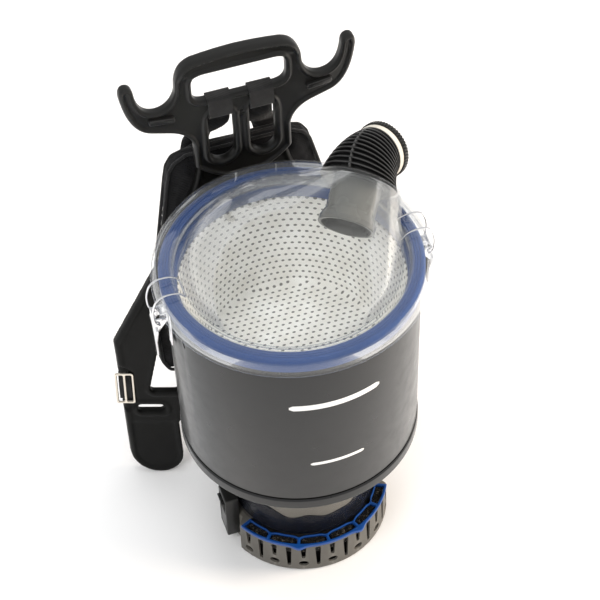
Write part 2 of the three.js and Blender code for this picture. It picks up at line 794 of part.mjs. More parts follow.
function backFrame() {
  const body = curvedSlab(0, frameDepth)
    .intersect(plate(frameOutline(), 60, 230));
  const window = [[147, 124], [131, 182], [106, 288], [92, 288], [90, 124]];
  const windows = [-1, 1].map((side) => plate(outlineOf(window.map(([x, z]) => [side * x, z])), 60, 230));
  const slots = [-1, 1].map((side) => block(side * 148 - 15, side * 148 + 15, 60, 230, 94, 105));
  const passages = [-1, 1].map((side) => adjusterSpot(side, block(-8, 8, -20, 30, -24, 24)));
  const recesses = [-1, 1].map((side) => adjusterSpot(side, block(-13, 13, -20, 4.5, -30, 28)));
  const head = plate(headOutline(0.5), 150, headFrontY + headDepth + gap);
  const screwHoles = frameScrews.map((spot) => moved(joined(disc(2.8, -30, 30, 8),
    disc(5.6, frameDepth - 3.6, 40, 8)), screwSpot(spot, frameFrontY(...spot))));
  return cut(body, ...windows, ...slots, ...passages, ...recesses, head, ...screwHoles);
}

// The adjuster's place: its X runs across the wing's front face and its Z up that face.
function adjusterPlace(side) {
  const out = new THREE.Vector3(1, 0.36 * side, 0).normalize();
  const up = new THREE.Vector3(0, 0.197, 1).normalize();
  const normal = new THREE.Vector3().crossVectors(up, out).normalize();
  up.crossVectors(out, normal).normalize();
  const place = new THREE.Matrix4().makeBasis(out, normal, up);
  return place.setPosition(side * adjusterX, frameFrontY(adjusterX, adjusterZ), adjusterZ);
}

function adjusterSpot(side, shape) {
  return moved(shape, adjusterPlace(side));
}

function adjuster(side) {
  const outer = block(-11.5, 11.5, 0.6, 3.4, -23, 23);
  const inner = [[-9, -1.6], [1.6, 9]].map(([x0, x1]) => block(x0, x1, -3, 6, -20.5, 20.5));
  return adjusterSpot(side, cut(outer, ...inner));
}

function backPad() {
  const half = [[66, 433], [80, 429], [88, 418], [92, 400], [115, 298], [131, 218], [130, 150],
    [122, 136], [30, 136]];
  return curvedSlab(frameDepth + padGap, frameDepth + padGap + padDepth)
    .intersect(plate(outlineOf(mirrored(half)), 100, 260))
    .subtract(plate(headOutline(1), 150, headFrontY + headDepth + padGap));
}

const acrossX = [new THREE.Vector3(1, 0, 0)];

function strapLoop(side) {
  const [y0, y1] = [headFrontY - 0.5, headFrontY + headDepth + 0.5];
  const band = block(-13.8, 13.8, y0 - 1.8, y1 + 1.8, 506, 529.6).subtract(
    block(-20, 20, y0, y1, 509.6, 527.6));
  const bar = plate(headOutline(), headFrontY - 0.4, headFrontY + headDepth + 0.4, 5);
  const slotRoof = cut(bar, plate(new THREE.Shape(roundedSlot(...handOpening).getPoints(5)), 100, 240),
    plate(new THREE.Shape(stadium(0, ...strapSlot).getPoints(5)), 100, 240));
  return cut(band, slotRoof).translate([side * strapSlotX, 0, 0]);
}

const strapBackY = frameDepth + padGap + padDepth + 2;

function strapPad(side) {
  const route = [[24, 184.8, 500], [25, 190, 470], [30, 206, 448], [40, 219, 430]];
  for (let z = 400; z >= 220; z -= 36) {
    const x = 46 + (400 - z) * 0.22;
    route.push([x, frameFrontY(x, z) + strapBackY + 10, z]);
  }
  const points = route.map(([x, y, z]) => new THREE.Vector3(side * x, y, z));
  return strap(points, acrossX, 34, 8);
}

function strapWeb(side) {
  const place = adjusterPlace(side);
  const at = (x, y, z) => new THREE.Vector3(x, y, z).applyMatrix4(place);
  const out = new THREE.Vector3(1, 0.36 * side, 0);
  const route = [at(0, 6, -18), at(0, 6, 12), at(0, 16, 19), at(-side * 6, 44, 30),
    at(-side * 34, 76, 56), at(-side * 74, 90, 76)];
  return strap(route, [out], 15, 1.8);
}

// ---------------------------------------------------------------- canister brackets and screws
function mountBracket(z0, z1, halfWidth) {
  const side = outlineOf([[120, z0], [spineY(z0) - gap, z0], [spineY(z1) - gap, z1], [120, z1]]);
  const body = plate(side, -halfWidth, halfWidth).rotate([0, 0, 90]);
  const holes = frameScrews.filter(([, z]) => z > z0 && z < z1).map((spot) =>
    moved(disc(2.8, -14, 10, 8), screwSpot(spot, frameFrontY(...spot))));
  const barrel = turned([[0, canisterLowZ - 40], [canisterLowR + gap - 0.65, canisterLowZ - 40],
    [canisterTopR + gap, canisterTopZ], [0, canisterTopZ]]);
  return cut(body, barrel, ...holes);
}

function bracketScrew(spot) {
  const screw = joined(disc(2.2, -12, frameDepth - 2, 8), disc(4.8, frameDepth - 3.2, frameDepth - 0.6, 8));
  return moved(screw, screwSpot(spot, frameFrontY(...spot)));
}

// ---------------------------------------------------------------- assembly
add('canister', canister(), 'canister');
add('canister_base', canisterBase(), 'canister');
add('premotor_filter', disc(61, filterSeatZ, filterSeatZ + 11, 28), 'foam');
add('filter_retainer', filterRetainer(), 'black');
add('filter_ring', filterRing(), 'ringBlue');
add('filter_bag', filterBag(), 'bag');
add('lid', lid(), 'clear');
add('inlet_tube', inletTube(), 'smoked');
add('swivel_retainer', swivelRetainer(), 'clear');
add('hose_elbow', hoseElbow(), 'black');
add('elbow_collar', elbowCollar(), 'collar');
add('hose_lock_ring', hoseLockRing(), 'black');

add('motor_housing', motorHousing(), 'smoked');
add('motor_gasket', tube(79, 62, neckTopZ - 5.3, neckTopZ - 4.3), 'rubber');
add('fan_case', lowered(fanCase()), 'steel');
add('impeller', lowered(impeller()), 'steel');
add('motor_can', lowered(motorCan()), 'steel');
add('motor_field', lowered(tube(45.4, 28, 88, 118, 24)), 'copper');
add('armature', lowered(armature()), 'copper');
add('motor_shaft', lowered(disc(shaftR, 66, 157, 16)), 'steel');
add('bearing_lower', lowered(bearing(73)), 'steel');
add('bearing_upper', lowered(bearing(126.7)), 'steel');
add('brush_left', lowered(brush(-1)), 'carbon');
add('brush_right', lowered(brush(1)), 'carbon');
add('motor_mount', lowered(tube(neckR - neckWall - 1, 20, 62, 72.7)), 'rubber');

add('base_ring', baseRing(), 'foot');
add('base_cover', baseCover(), 'foot');
add('exhaust_frame', exhaustFrame(), 'frameBlue');
add('exhaust_foam', exhaustFoam(), 'foam');
add('switch_bezel', switchBezel(), 'black');
add('switch_rocker', switchRocker(), 'black');
add('cord_inlet', cordInlet(), 'black');
['front_left', 'front_right', 'rear'].forEach((place, i) =>
  add(`base_screw_${place}`, baseScrew([-150, -30, 90][i]), 'steel'));

for (const [side, turn] of [['left', 180], ['right', 0]]) {
  add(`latch_bracket_${side}`, spun(latchBracket(), turn), 'chrome');
  add(`latch_pin_${side}`, spun(latchPin(), turn), 'chrome');
  add(`latch_lever_${side}`, spun(latchLever(), turn), 'chrome');
  add(`latch_bail_${side}`, spun(latchBail(), turn), 'chrome');
}

add('harness_head', harnessHead(), 'black');
add('back_frame', backFrame(), 'black');
add('back_pad', backPad(), 'fabric');
for (const [name, side] of [['left', -1], ['right', 1]]) {
  add(`strap_loop_${name}`, strapLoop(side), 'fabric');
  add(`strap_pad_${name}`, strapPad(side), 'fabric');
  add(`strap_web_${name}`, strapWeb(side), 'fabric');
  add(`adjuster_${name}`, adjuster(side), 'nickel');
}
add('mount_bracket_upper', mountBracket(362, 392, 42), 'black');
add('mount_bracket_lower', mountBracket(222, 254, 42), 'black');
frameScrews.forEach((spot, i) => add(`bracket_screw_${i + 1}`, bracketScrew(spot), 'steel'));

export default model;
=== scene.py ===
# Backpack vacuum cleaner: the looks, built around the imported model. Sizes are in millimetres here and
# become metres in raw_mesh(); +Z is up, +Y is towards the wearer and the canister's axis is Z.
import json
import math
from math import cos, pi, radians, sin, tau

import bmesh
import bpy
import numpy as np
from mathutils import Matrix, Quaternion, Vector

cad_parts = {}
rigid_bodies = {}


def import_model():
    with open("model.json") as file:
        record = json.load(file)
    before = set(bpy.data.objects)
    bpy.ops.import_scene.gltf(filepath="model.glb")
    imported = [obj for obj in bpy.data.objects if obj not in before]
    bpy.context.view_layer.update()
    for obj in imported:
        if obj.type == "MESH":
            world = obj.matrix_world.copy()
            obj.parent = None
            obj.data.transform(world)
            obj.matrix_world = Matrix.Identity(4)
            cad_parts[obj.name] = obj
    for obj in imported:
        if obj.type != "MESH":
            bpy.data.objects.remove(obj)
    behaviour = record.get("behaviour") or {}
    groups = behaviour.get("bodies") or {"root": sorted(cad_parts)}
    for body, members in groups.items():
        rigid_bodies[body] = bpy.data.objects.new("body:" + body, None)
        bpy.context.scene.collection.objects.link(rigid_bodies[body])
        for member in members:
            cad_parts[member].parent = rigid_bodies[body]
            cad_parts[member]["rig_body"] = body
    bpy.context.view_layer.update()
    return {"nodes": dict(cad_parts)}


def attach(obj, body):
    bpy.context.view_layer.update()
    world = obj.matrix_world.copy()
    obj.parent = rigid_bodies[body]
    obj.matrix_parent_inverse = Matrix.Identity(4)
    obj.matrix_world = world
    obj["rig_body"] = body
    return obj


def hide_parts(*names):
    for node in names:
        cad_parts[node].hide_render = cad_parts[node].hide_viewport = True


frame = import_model()
MM = 0.001
ROUND = 144  # segments of the large round pieces
SIDES = ((-1, "left"), (1, "right"))

# ---- sizes, in millimetres
TOP_R, LOW_R, TOP_Z, LOW_Z, WALL = 139, 135.3, 413, 186, 3  # the canister's wall
DOME_R, DOME_Z, VALLEY_R, VALLEY_Z, LID_WALL = 126.7, 385, 123.6, 426, 2.6
BOSS = Vector((92.5, 46.5, 470.5))
BOSS_AXIS = Vector((0.53, 0.72, 0.45)).normalized()
HOSE_AXIS = Vector((0.8, 0.54, -0.25)).normalized()
BOSS_R, ELBOW_BASE_R, ELBOW_END_R, ELBOW_CHORD = 48, 43, 30.5, 44
FOOT_R, FOOT_REAR_R, FOOT_TOP = 100, 91, 46
FOOT_FRONT = (-158, -22)
EXHAUST_ARC = (-154, -26)
DIVIDERS = (-133, -111, -90, -67, -45)
CLIPS = (-111, -67)
BAIL_PIVOT = (152.5, 397)
HEAD_Y, HEAD_DEPTH = 165, 14
FRAME_DEPTH, ADJUSTER_X, ADJUSTER_Z = 12, 174.5, 130
# how far a wing's face falls back for each step out and each step up, and its length for a step out
WING_LEAN, WING_RISE, WING_STRETCH = 0.36, 0.197, 1.063

# the filter felt's holes and its floor's height, in metres
HOLES_AROUND, HOLE_PITCH, ROW_PITCH, FELT_FLOOR = 84, 0.0082, 0.0072, 0.2955


# ---- materials
def srgb(hexcode):
    """A colour as linear RGBA from its sRGB hex code."""
    parts = [int(hexcode[i:i + 2], 16) / 255 for i in (0, 2, 4)]
    return [c / 12.92 if c <= 0.04045 else ((c + 0.055) / 1.055) ** 2.4 for c in parts] + [1]


class Nodes:
    """A material's node tree with short calls for what is used often."""

    def __init__(self, name):
        self.material = bpy.data.materials.new(name)
        self.material.use_nodes = True
        self.tree = self.material.node_tree
        self.shader = self.tree.nodes["Principled BSDF"]
        self.coords = self.tree.nodes.new("ShaderNodeTexCoord")

    def add(self, kind, **values):
        node = self.tree.nodes.new("ShaderNode" + kind)
        for key, value in values.items():
            if key in node.inputs:
                node.inputs[key].default_value = value
            else:
                setattr(node, key, value)
        return node

    def link(self, a, b):
        self.tree.links.new(a, b)

    def set(self, **values):
        """Sets the shader's sockets; an underscore stands for a space in a socket's name."""
        for key, value in values.items():
            self.shader.inputs[key.replace("_", " ")].default_value = value

    def feed(self, socket, source):
        """Links a value to one of the shader's sockets."""
        self.link(source, self.shader.inputs[socket])

    def seen_through(self, clear, amount):
        """Lets the clear shader through, and as much of the main one as the amount says."""
        mix = self.add("MixShader")
        for socket, source in zip(mix.inputs, (amount, clear.outputs[0], self.shader.outputs[0])):
            self.link(source, socket)
        self.link(mix.outputs[0], self.tree.nodes["Material Output"].inputs["Surface"])

    def math(self, operation, a, b=0.0):
        node = self.add("Math", operation=operation)
        for socket, value in zip(node.inputs, (a, b)):
            if isinstance(value, (int, float)):
                socket.default_value = value
            else:
                self.link(value, socket)
        return node.outputs[0]

    def noise(self, scale, detail=3, rough=0.55, vector=None):
        node = self.add("TexNoise", Scale=scale, Detail=detail, Roughness=rough)
        self.link(vector or self.coords.outputs["Object"], node.inputs["Vector"])
        return node.outputs["Fac"]

    def drift(self, scale, detail, low=0, high=1):
        """Soft noise between two values."""
        return self.remap(self.noise(scale, detail), 0.3, 0.7, low, high)

    def remap(self, value, low, high, to_low, to_high):
        node = self.add("MapRange")
        self.link(value, node.inputs["Value"])
        for key, number in zip(("From Min", "From Max", "To Min", "To Max"),
                               (low, high, to_low, to_high)):
            node.inputs[key].default_value = number
        return node.outputs[0]

    def blend(self, factor, a, b):
        node = self.add("Mix", data_type="RGBA")
        for socket, value in ((node.inputs[0], factor), (node.inputs[6], a), (node.inputs[7], b)):
            if isinstance(value, (int, float, list, tuple)):
                socket.default_value = value
            else:
                self.link(value, socket)
        return node.outputs[2]

    def bump(self, height, strength, distance):
        node = self.add("Bump", Strength=strength, Distance=distance)
        self.link(height, node.inputs["Height"])
        if self.shader.inputs["Normal"].is_linked:
            self.link(self.shader.inputs["Normal"].links[0].from_socket, node.inputs["Normal"])
        self.feed("Normal", node.outputs[0])


def moulded(name, colour, rough, grain=0.25, grain_scale=1800, shade=0.1, coat=0.0, edge_wear_and_highlight=0.0, metal=0.0,
            edge=(0.52, 0.62), shine=0.5):
    """Moulded plastic or metal: colour drift, uneven gloss, fine grain, and lighter edges that are partly
    wear and partly a painted highlight.
    """
    n = Nodes(name)
    base = srgb(colour)
    dark = [c * (1 - shade) for c in base[:3]] + [1]
    light = [min(1, c * (1 + shade) + 0.002) for c in base[:3]] + [1]
    tone = n.blend(n.drift(14, 4), dark, light)
    # Edges painted lighter by pointiness: partly wear, and on the glossy black and the fins a painted
    # highlight of light catching the edges.
    if edge_wear_and_highlight:
        wear_and_highlight_mask = n.remap(n.add("NewGeometry").outputs["Pointiness"], *edge, 0, edge_wear_and_highlight)
        tone = n.blend(wear_and_highlight_mask, tone, [min(1, c * 2.2 + 0.05) for c in base[:3]] + [1])
    n.feed("Base Color", tone)
    n.feed("Roughness", n.drift(60, 5, rough * 0.85, rough * 1.15))
    n.set(Metallic=metal, Specular_IOR_Level=shine, Coat_Weight=coat, Coat_Roughness=0.12)
    if grain:
        n.bump(n.noise(grain_scale, 2), grain, 0.00012)
    return n.material


def see_through(name, colour, veil, rough=0.04, edge=0.75, gloss=1.0):
    """Clear or smoked plastic: see-through, with a tinted veil that thickens where it is seen edge on,
    and the mirror-like gloss of its surface over it."""
    n = Nodes(name)
    n.set(Base_Color=srgb(colour), IOR=1.5, Coat_Weight=gloss, Coat_Roughness=0.02)
    n.feed("Roughness", n.drift(25, 3, rough * 0.7, rough * 1.4))
    n.bump(n.noise(18, 2), 0.05, 0.001)
    clear = n.add("BsdfTransparent")
    facing = n.add("LayerWeight", Blend=0.5)
    amount = n.remap(facing.outputs["Facing"], 0.35, 1.0, veil, edge)
    n.seen_through(clear, amount)
    return n.material


def clear_plastic(name, scatter=0.01, rough=0.03, edge=0.42):
    """Water-clear plastic: mostly transparent, its gloss a mirror that grows towards the edges."""
    n = Nodes(name)
    n.set(Base_Color=(0.95, 0.96, 0.97, 1), Metallic=0.85)
    n.feed("Roughness", n.drift(30, 3, rough * 0.7, rough * 1.5))
    n.bump(n.noise(14, 2), 0.06, 0.001)
    clear = n.add("BsdfTransparent")
    clear.inputs["Color"].default_value = (0.985, 0.99, 0.99, 1)
    fresnel = n.add("LayerWeight", Blend=0.3)
    smears = n.remap(n.noise(8, 4), 0.45, 0.8, 0, scatter)
    amount = n.math("ADD", n.remap(fresnel.outputs["Fresnel"], 0.04, 1.0, 0.03, edge), smears)
    n.seen_through(clear, amount)
    return n.material


def woven(name, colour, pitch, rough=0.9, sheen=0.25, depth=0.0004):
    """Woven cloth: crossing threads at the given pitch in metres, with dusty variation."""
    n = Nodes(name)
    base = srgb(colour)
    warp = n.add("TexWave", Scale=0.16 / pitch, Distortion=0.4, bands_direction="DIAGONAL")
    weft = n.add("TexWave", Scale=0.16 / pitch, Distortion=0.4, bands_direction="Z")
    for wave in (warp, weft):
        n.link(n.coords.outputs["Object"], wave.inputs["Vector"])
    threads = n.math("MAXIMUM", warp.outputs["Fac"], weft.outputs["Fac"])
    drift = n.drift(35, 4)
    body = n.blend(drift, [c * 0.7 for c in base[:3]] + [1], [c * 1.5 + 0.002 for c in base[:3]] + [1])
    tone = n.blend(n.remap(threads, 0.2, 1.0, 0.5, 0), body, [0.001, 0.001, 0.001, 1])
    n.feed("Base Color", tone)
    n.feed("Roughness", n.drift(90, 3, rough - 0.08, rough + 0.08))
    n.set(Sheen_Weight=sheen, Sheen_Roughness=0.5)
    n.bump(threads, 0.7, depth)
    n.bump(n.noise(55, 3), 0.3, 0.0015)
    return n.material


def perforated(name):
    """White filter felt with staggered rows of small dark holes: round the wall and across the floor."""
    n = Nodes(name)
    split = n.add("SeparateXYZ")
    n.link(n.coords.outputs["Object"], split.inputs[0])
    x, y, z = split.outputs
    floor = n.math("LESS_THAN", z, FELT_FLOOR)
    wall = n.math("SUBTRACT", 1.0, floor)

    def times(a, b):
        return n.math("MULTIPLY", a, b)

    def count(on_wall, on_floor):
        mixed = n.math("ADD", times(on_wall, wall), times(on_floor, floor))
        return n.math("ADD", mixed, 400.0)  # keeps every row's number above zero

    u = count(times(n.math("ARCTAN2", y, x), HOLES_AROUND / tau), times(x, 1 / HOLE_PITCH))
    v = count(times(z, 1 / ROW_PITCH), times(y, 1 / ROW_PITCH))
    stagger = times(n.math("MODULO", n.math("FLOOR", v), 2.0), 0.5)
    across = n.math("SUBTRACT", n.math("FRACT", n.math("ADD", u, stagger)), 0.5)
    along = n.math("SUBTRACT", n.math("FRACT", v), 0.5)
    reach = n.math("SQRT", n.math("ADD", times(times(across, across), 0.55), times(along, along)))
    ragged = n.math("ADD", reach, times(n.math("SUBTRACT", n.noise(700, 2), 0.5), 0.07))
    hole = n.remap(ragged, 0.15, 0.2, 1, 0)
    felt = n.blend(n.drift(40, 5), srgb("eae7e0"), srgb("fcfbf7"))
    n.feed("Base Color", n.blend(times(hole, 0.82), felt, srgb("3a3936")))
    n.set(Roughness=0.95, Sheen_Weight=0.2)
    n.bump(n.math("SUBTRACT", n.noise(900, 3), hole), 0.5, 0.0006)
    return n.material


def sponge(name):
    """Open-cell black foam: deep near-black pores, with the cell walls painted lighter as a highlight and a
    few of them bright.
    """
    n = Nodes(name)
    cells = n.add("TexVoronoi", Scale=420, feature="DISTANCE_TO_EDGE")
    n.link(n.coords.outputs["Object"], cells.inputs["Vector"])
    walls = n.remap(cells.outputs["Distance"], 0.0, 0.22, 1, 0)
    # Painted highlight on the cell walls, strong on a few walls picked by noise.
    wall_highlight = n.math("MULTIPLY", walls, n.remap(n.noise(260, 2), 0.52, 0.66, 0.1, 1.0))
    n.feed("Base Color", n.blend(wall_highlight, srgb("050505"), srgb("8d877c")))
    n.set(Roughness=0.75)
    n.bump(walls, 1.0, 0.0018)
    return n.material


LOOKS = {
    "canister": moulded("canister_satin", "1a1b1c", 0.32, grain=0, shade=0.04, coat=0.3, shine=0.25),
    "clear": clear_plastic("clear_lid"),
    "smoked": see_through("smoked_housing", "26272a", 0.05, rough=0.2, edge=0.4, gloss=0.4),
    "tube": see_through("grey_inlet", "5c5c58", 0.97, rough=0.25, edge=1.0, gloss=0.5),
    "ring": moulded("ring_blue", "1f4179", 0.42, grain=0.1, shade=0.08, shine=0.35),
    "grid": moulded("grid_blue", "0f4388", 0.38, grain=0.1, shade=0.1, edge_wear_and_highlight=0.25),
    "bag": perforated("filter_felt"),
    "black": moulded("black_satin", "111110", 0.34, grain=0.3, shade=0.15, edge_wear_and_highlight=0.35, shine=0.35),
    # Glossy black with a strong painted highlight along its edges.
    "gloss": moulded("black_gloss", "0b0b0b", 0.3, grain=0.05, shade=0.1, edge_wear_and_highlight=0.9),
    # The fins' edges get a strong painted highlight; the grooves between them keep the near-black colour.
    "fins": moulded("black_fins", "080808", 0.32, grain=0.05, shade=0.1, edge_wear_and_highlight=1.0, edge=(0.51, 0.56)),
    "frame": moulded("frame_black", "0b0b0a", 0.42, grain=0.4, shade=0.2, edge_wear_and_highlight=0.3, shine=0.15),
    "liner": moulded("liner_grey", "7c786f", 0.6, grain=0, shade=0.06),
    "foot": moulded("foot_grey", "5b5852", 0.5, grain=0.5, grain_scale=1200, shade=0.1, edge_wear_and_highlight=0.3),
    "pale": moulded("collar_pale", "cbc6bc", 0.45, grain=0.2),
    "foam": sponge("exhaust_sponge"),
    "cloth": woven("pad_cloth", "0e0e10", 0.0011, sheen=0.05),
    "webbing": woven("strap_webbing", "161617", 0.0009, rough=0.8, sheen=0.1, depth=0.0002),
    "piping": woven("piping_cloth", "1a1a1b", 0.0008, sheen=0.15),
    "chrome": moulded("chrome_wire", "e6e7ea", 0.1, grain=0, shade=0.03, metal=1.0),
    "nickel": moulded("buckle_nickel", "e4dccf", 0.18, grain=0.05, shade=0.06, metal=1.0),
    "steel": moulded("zinc_steel", "a8a8aa", 0.34, grain=0.15, shade=0.1, metal=1.0),
    "copper": moulded("copper_winding", "b06a3c", 0.35, grain=0.5, shade=0.2, metal=1.0),
    "rubber": moulded("black_rubber", "171717", 0.75, grain=0.4, shade=0.1),
    "wrap": moulded("blue_black_felt", "070b18", 0.9, grain=0.5, grain_scale=300, shade=0.4, shine=0.2),
    # Near black for pieces that stand for shade: the ring in the pan's seam groove and the sheet behind the
    # foot's slots.
    "dark": moulded("painted_shade_black", "020202", 0.9, grain=0.1, shade=0.1, shine=0.1),
    "mark": moulded("white_mark", "f2f2ef", 0.4, grain=0, shade=0.02),
}


# ---- mesh helpers
def raw_mesh(name, verts, faces, weld=True):
    """A mesh from millimetre points, with its faces turned outwards."""
    mesh = bpy.data.meshes.new(name)
    mesh.from_pydata([(v[0] * MM, v[1] * MM, v[2] * MM) for v in verts], [], faces)
    bm = bmesh.new()
    bm.from_mesh(mesh)
    if weld:
        bmesh.ops.remove_doubles(bm, verts=bm.verts, dist=1e-6)
    bmesh.ops.recalc_face_normals(bm, faces=bm.faces)
    bm.to_mesh(mesh)
    bm.free()
    return mesh


def in_scene(name, data):
    """A new object, linked to the scene."""
    thing = bpy.data.objects.new(name, data)
    bpy.context.collection.objects.link(thing)
    return thing


def mesh_piece(name, verts, faces, look, **extra):
    """A dressed piece from millimetre points."""
    return dress(in_scene(name, raw_mesh(name, verts, faces)), look, **extra)


def dress(piece, look, body="chassis", slot="black_plastic", replaces=(), sharp=38):
    """Gives a piece its material, its shading, its body and the nodes it stands for. The slot is not used.
    """
    piece.data.materials.clear()
    piece.data.materials.append(LOOKS[look])
    for polygon in piece.data.polygons:
        polygon.use_smooth = True
    piece.data.set_sharp_from_angle(angle=radians(sharp))
    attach(piece, body)
    if replaces:
        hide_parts(*replaces)
    return piece


def baked(piece):
    """Applies the piece's modifiers to its mesh."""
    graph = bpy.context.evaluated_depsgraph_get()
    mesh = bpy.data.meshes.new_from_object(piece.evaluated_get(graph))
    piece.modifiers.clear()
    old = piece.data
    piece.data = mesh
    bpy.data.meshes.remove(old)
    return piece


def rounded(points, radius, steps=4, closed=True):
    """The outline with each corner replaced by an arc of at most the given radius."""
    made, count = [], len(points)
    for i, corner in enumerate(points):
        here = Vector(corner[:2])
        reach = corner[2] if len(corner) > 2 else radius
        if not closed and i in (0, count - 1) or reach == 0:
            made.append(tuple(here))
            continue
        a = Vector(points[i - 1][:2]) - here
        b = Vector(points[(i + 1) % count][:2]) - here
        turn = pi - a.angle(b)
        back = min(reach * math.tan(turn / 2), a.length * 0.45, b.length * 0.45)
        start, end = here + a.normalized() * back, here + b.normalized() * back
        for k in range(steps + 1):
            t = k / steps
            made.append(tuple(start * (1 - t) ** 2 + here * 2 * t * (1 - t) + end * t ** 2))
    return made


def box(left, low, right, high):
    """The corners of a rectangle."""
    return [(left, low), (right, low), (right, high), (left, high)]


def placed(point, direction):
    """The matrix that takes a piece made about Z to a point and a direction."""
    turn = Vector((0, 0, 1)).rotation_difference(direction)
    return Matrix.Translation(point) @ turn.to_matrix().to_4x4()


def polar(radius, angle, z):
    """The point at a radius and an angle round the Z axis."""
    return Vector((radius * cos(angle), radius * sin(angle), z))


def turned(profile, segments=ROUND, place=None):
    """A closed profile of (radius, height) turned about Z, then placed."""
    rings = [[polar(r, tau * j / segments, z) for r, z in profile] for j in range(segments)]
    if place:
        rings = [[place @ point for point in ring] for ring in rings]
    return loft(rings, cyclic=True)


def lathe_piece(name, profile, look, radius=1.0, segments=ROUND, place=None, **extra):
    """A turned piece, the corners of its profile rounded."""
    return mesh_piece(name, *turned(rounded(profile, radius), segments, place), look, **extra)


def loft(rings, cyclic=False):
    """Vertices and faces of a skin through rings of points, with flat ends unless cyclic."""
    count = len(rings[0])
    verts = [point for ring in rings for point in ring]
    faces = []
    for i in range(len(rings) if cyclic else len(rings) - 1):
        here, there = i * count, ((i + 1) % len(rings)) * count
        for j in range(count):
            k = (j + 1) % count
            faces.append((here + j, here + k, there + k, there + j))
    if not cyclic:
        faces.append(tuple(reversed(range(count))))
        faces.append(tuple((len(rings) - 1) * count + j for j in range(count)))
    return verts, faces


def smooth_path(points, per_span=8):
    """Points along a Catmull-Rom curve through the given ones."""
    pts = [Vector(p) for p in points]
    pts = [pts[0] * 2 - pts[1]] + pts + [pts[-1] * 2 - pts[-2]]
    path = []
    for i in range(1, len(pts) - 2):
        a, b, c, d = pts[i - 1:i + 3]
        for k in range(per_span):
            t = k / per_span
            path.append(0.5 * ((2 * b) + (c - a) * t + (2 * a - 5 * b + 4 * c - d) * t ** 2
                               + (3 * b - a - 3 * c + d) * t ** 3))
    return path + [pts[-2]]


def along_path(path):
    """Each point of a path with the path's direction there."""
    last = len(path) - 1
    return [(p, (path[min(i + 1, last)] - path[max(i - 1, 0)]).normalized()) for i, p in enumerate(path)]


def wire(points, radius, sides=14, per_span=8, smooth=True):
    """A round wire through points, its section carried along without twist."""
    path = smooth_path(points, per_span) if smooth else [Vector(p) for p in points]
    side, rings = None, []
    for point, along in along_path(path):
        side = along.orthogonal() if side is None else side - along * side.dot(along)
        side.normalize()
        other = along.cross(side)
        rings.append([point + side * radius * cos(a) + other * radius * sin(a)
                      for a in (tau * j / sides for j in range(sides))])
    return loft(rings)


def merged(*shapes):
    """Several (vertices, faces) shapes as one."""
    verts, faces = [], []
    for v, f in shapes:
        offset = len(verts)
        verts += v
        faces += [tuple(i + offset for i in face) for face in f]
    return verts, faces


def spun(shape, degrees):
    """A shape turned about Z."""
    turn = Matrix.Rotation(radians(degrees), 4, "Z")
    return [turn @ Vector(v) for v in shape[0]], shape[1]


def flat_plate(outline, holes, y0, y1, bevel):
    """An outline in X and Z with holes, thick along Y, with rounded edges all round."""
    curve = bpy.data.curves.new("outline", "CURVE")
    curve.dimensions, curve.fill_mode = "2D", "BOTH"
    curve.extrude = (y1 - y0) / 2 - bevel
    curve.bevel_depth, curve.bevel_resolution, curve.offset = bevel, 3, -bevel
    for points in [outline, *holes]:
        spline = curve.splines.new("POLY")
        spline.points.add(len(points) - 1)
        for spot, (x, z) in zip(spline.points, points):
            spot.co = (x, z, 0, 1)
        spline.use_cyclic_u = True
    holder = bpy.data.objects.new("outline", curve)
    mesh = bpy.data.meshes.new_from_object(holder)
    verts = [Vector((v.co.x, (y0 + y1) / 2 - v.co.z, v.co.y)) for v in mesh.vertices]
    faces = [tuple(p.vertices) for p in mesh.polygons]
    bpy.data.objects.remove(holder)
    return verts, faces


def remeshed(name, shape, voxel, look, smoothing=4, **extra):
    """A piece with an even skin, for shapes that are carved by moving their points."""
    piece = mesh_piece(name, *shape, look, **extra)
    remesh = piece.modifiers.new("even", "REMESH")
    remesh.mode, remesh.voxel_size = "VOXEL", voxel * MM
    settle = piece.modifiers.new("settle", "SMOOTH")
    settle.factor, settle.iterations = 0.5, smoothing
    return baked(piece)


def points_of(piece):
    """A piece's points in millimetres."""
    flat = np.empty(len(piece.data.vertices) * 3)
    piece.data.vertices.foreach_get("co", flat)
    return flat.reshape(-1, 3) / MM


def set_points(piece, x, y, z):
    piece.data.vertices.foreach_set("co", (np.stack([x, y, z], 1) * MM).ravel())
    piece.data.update()


def edge_distance(x, z, outline):
    """Distance of each (x, z) to the nearest edge of a closed outline."""
    best = np.full(x.shape, 1e9)
    for (x0, z0), (x1, z1) in zip(outline, [*outline[1:], outline[0]]):
        dx, dz = x1 - x0, z1 - z0
        t = np.clip(((x - x0) * dx + (z - z0) * dz) / max(dx * dx + dz * dz, 1e-9), 0, 1)
        best = np.minimum(best, np.hypot(x - x0 - t * dx, z - z0 - t * dz))
    return best


def ease(value, low, high):
    """A smooth step from 0 at low to 1 at high."""
    t = np.clip((value - low) / (high - low), 0, 1)
    return t * t * (3 - 2 * t)


def less(piece, cutter):
    """Cuts an object's solid out of a piece, and deletes the object."""
    cut = piece.modifiers.new("cut", "BOOLEAN")
    cut.operation, cut.object, cut.solver = "DIFFERENCE", cutter, "EXACT"
    baked(piece)
    bpy.data.objects.remove(cutter)


def carved_by(piece, shape):
    """Cuts a closed shape out of a piece."""
    less(piece, in_scene("cutter", raw_mesh("cutter", *shape, weld=False)))


def prism(outline, place, depth):
    """A closed prism from an outline in X and Y, made thick along Z, then placed."""
    rings = [[place @ Vector((x, y, z)) for x, y in outline] for z in (-depth / 2, depth / 2)]
    return loft(rings)


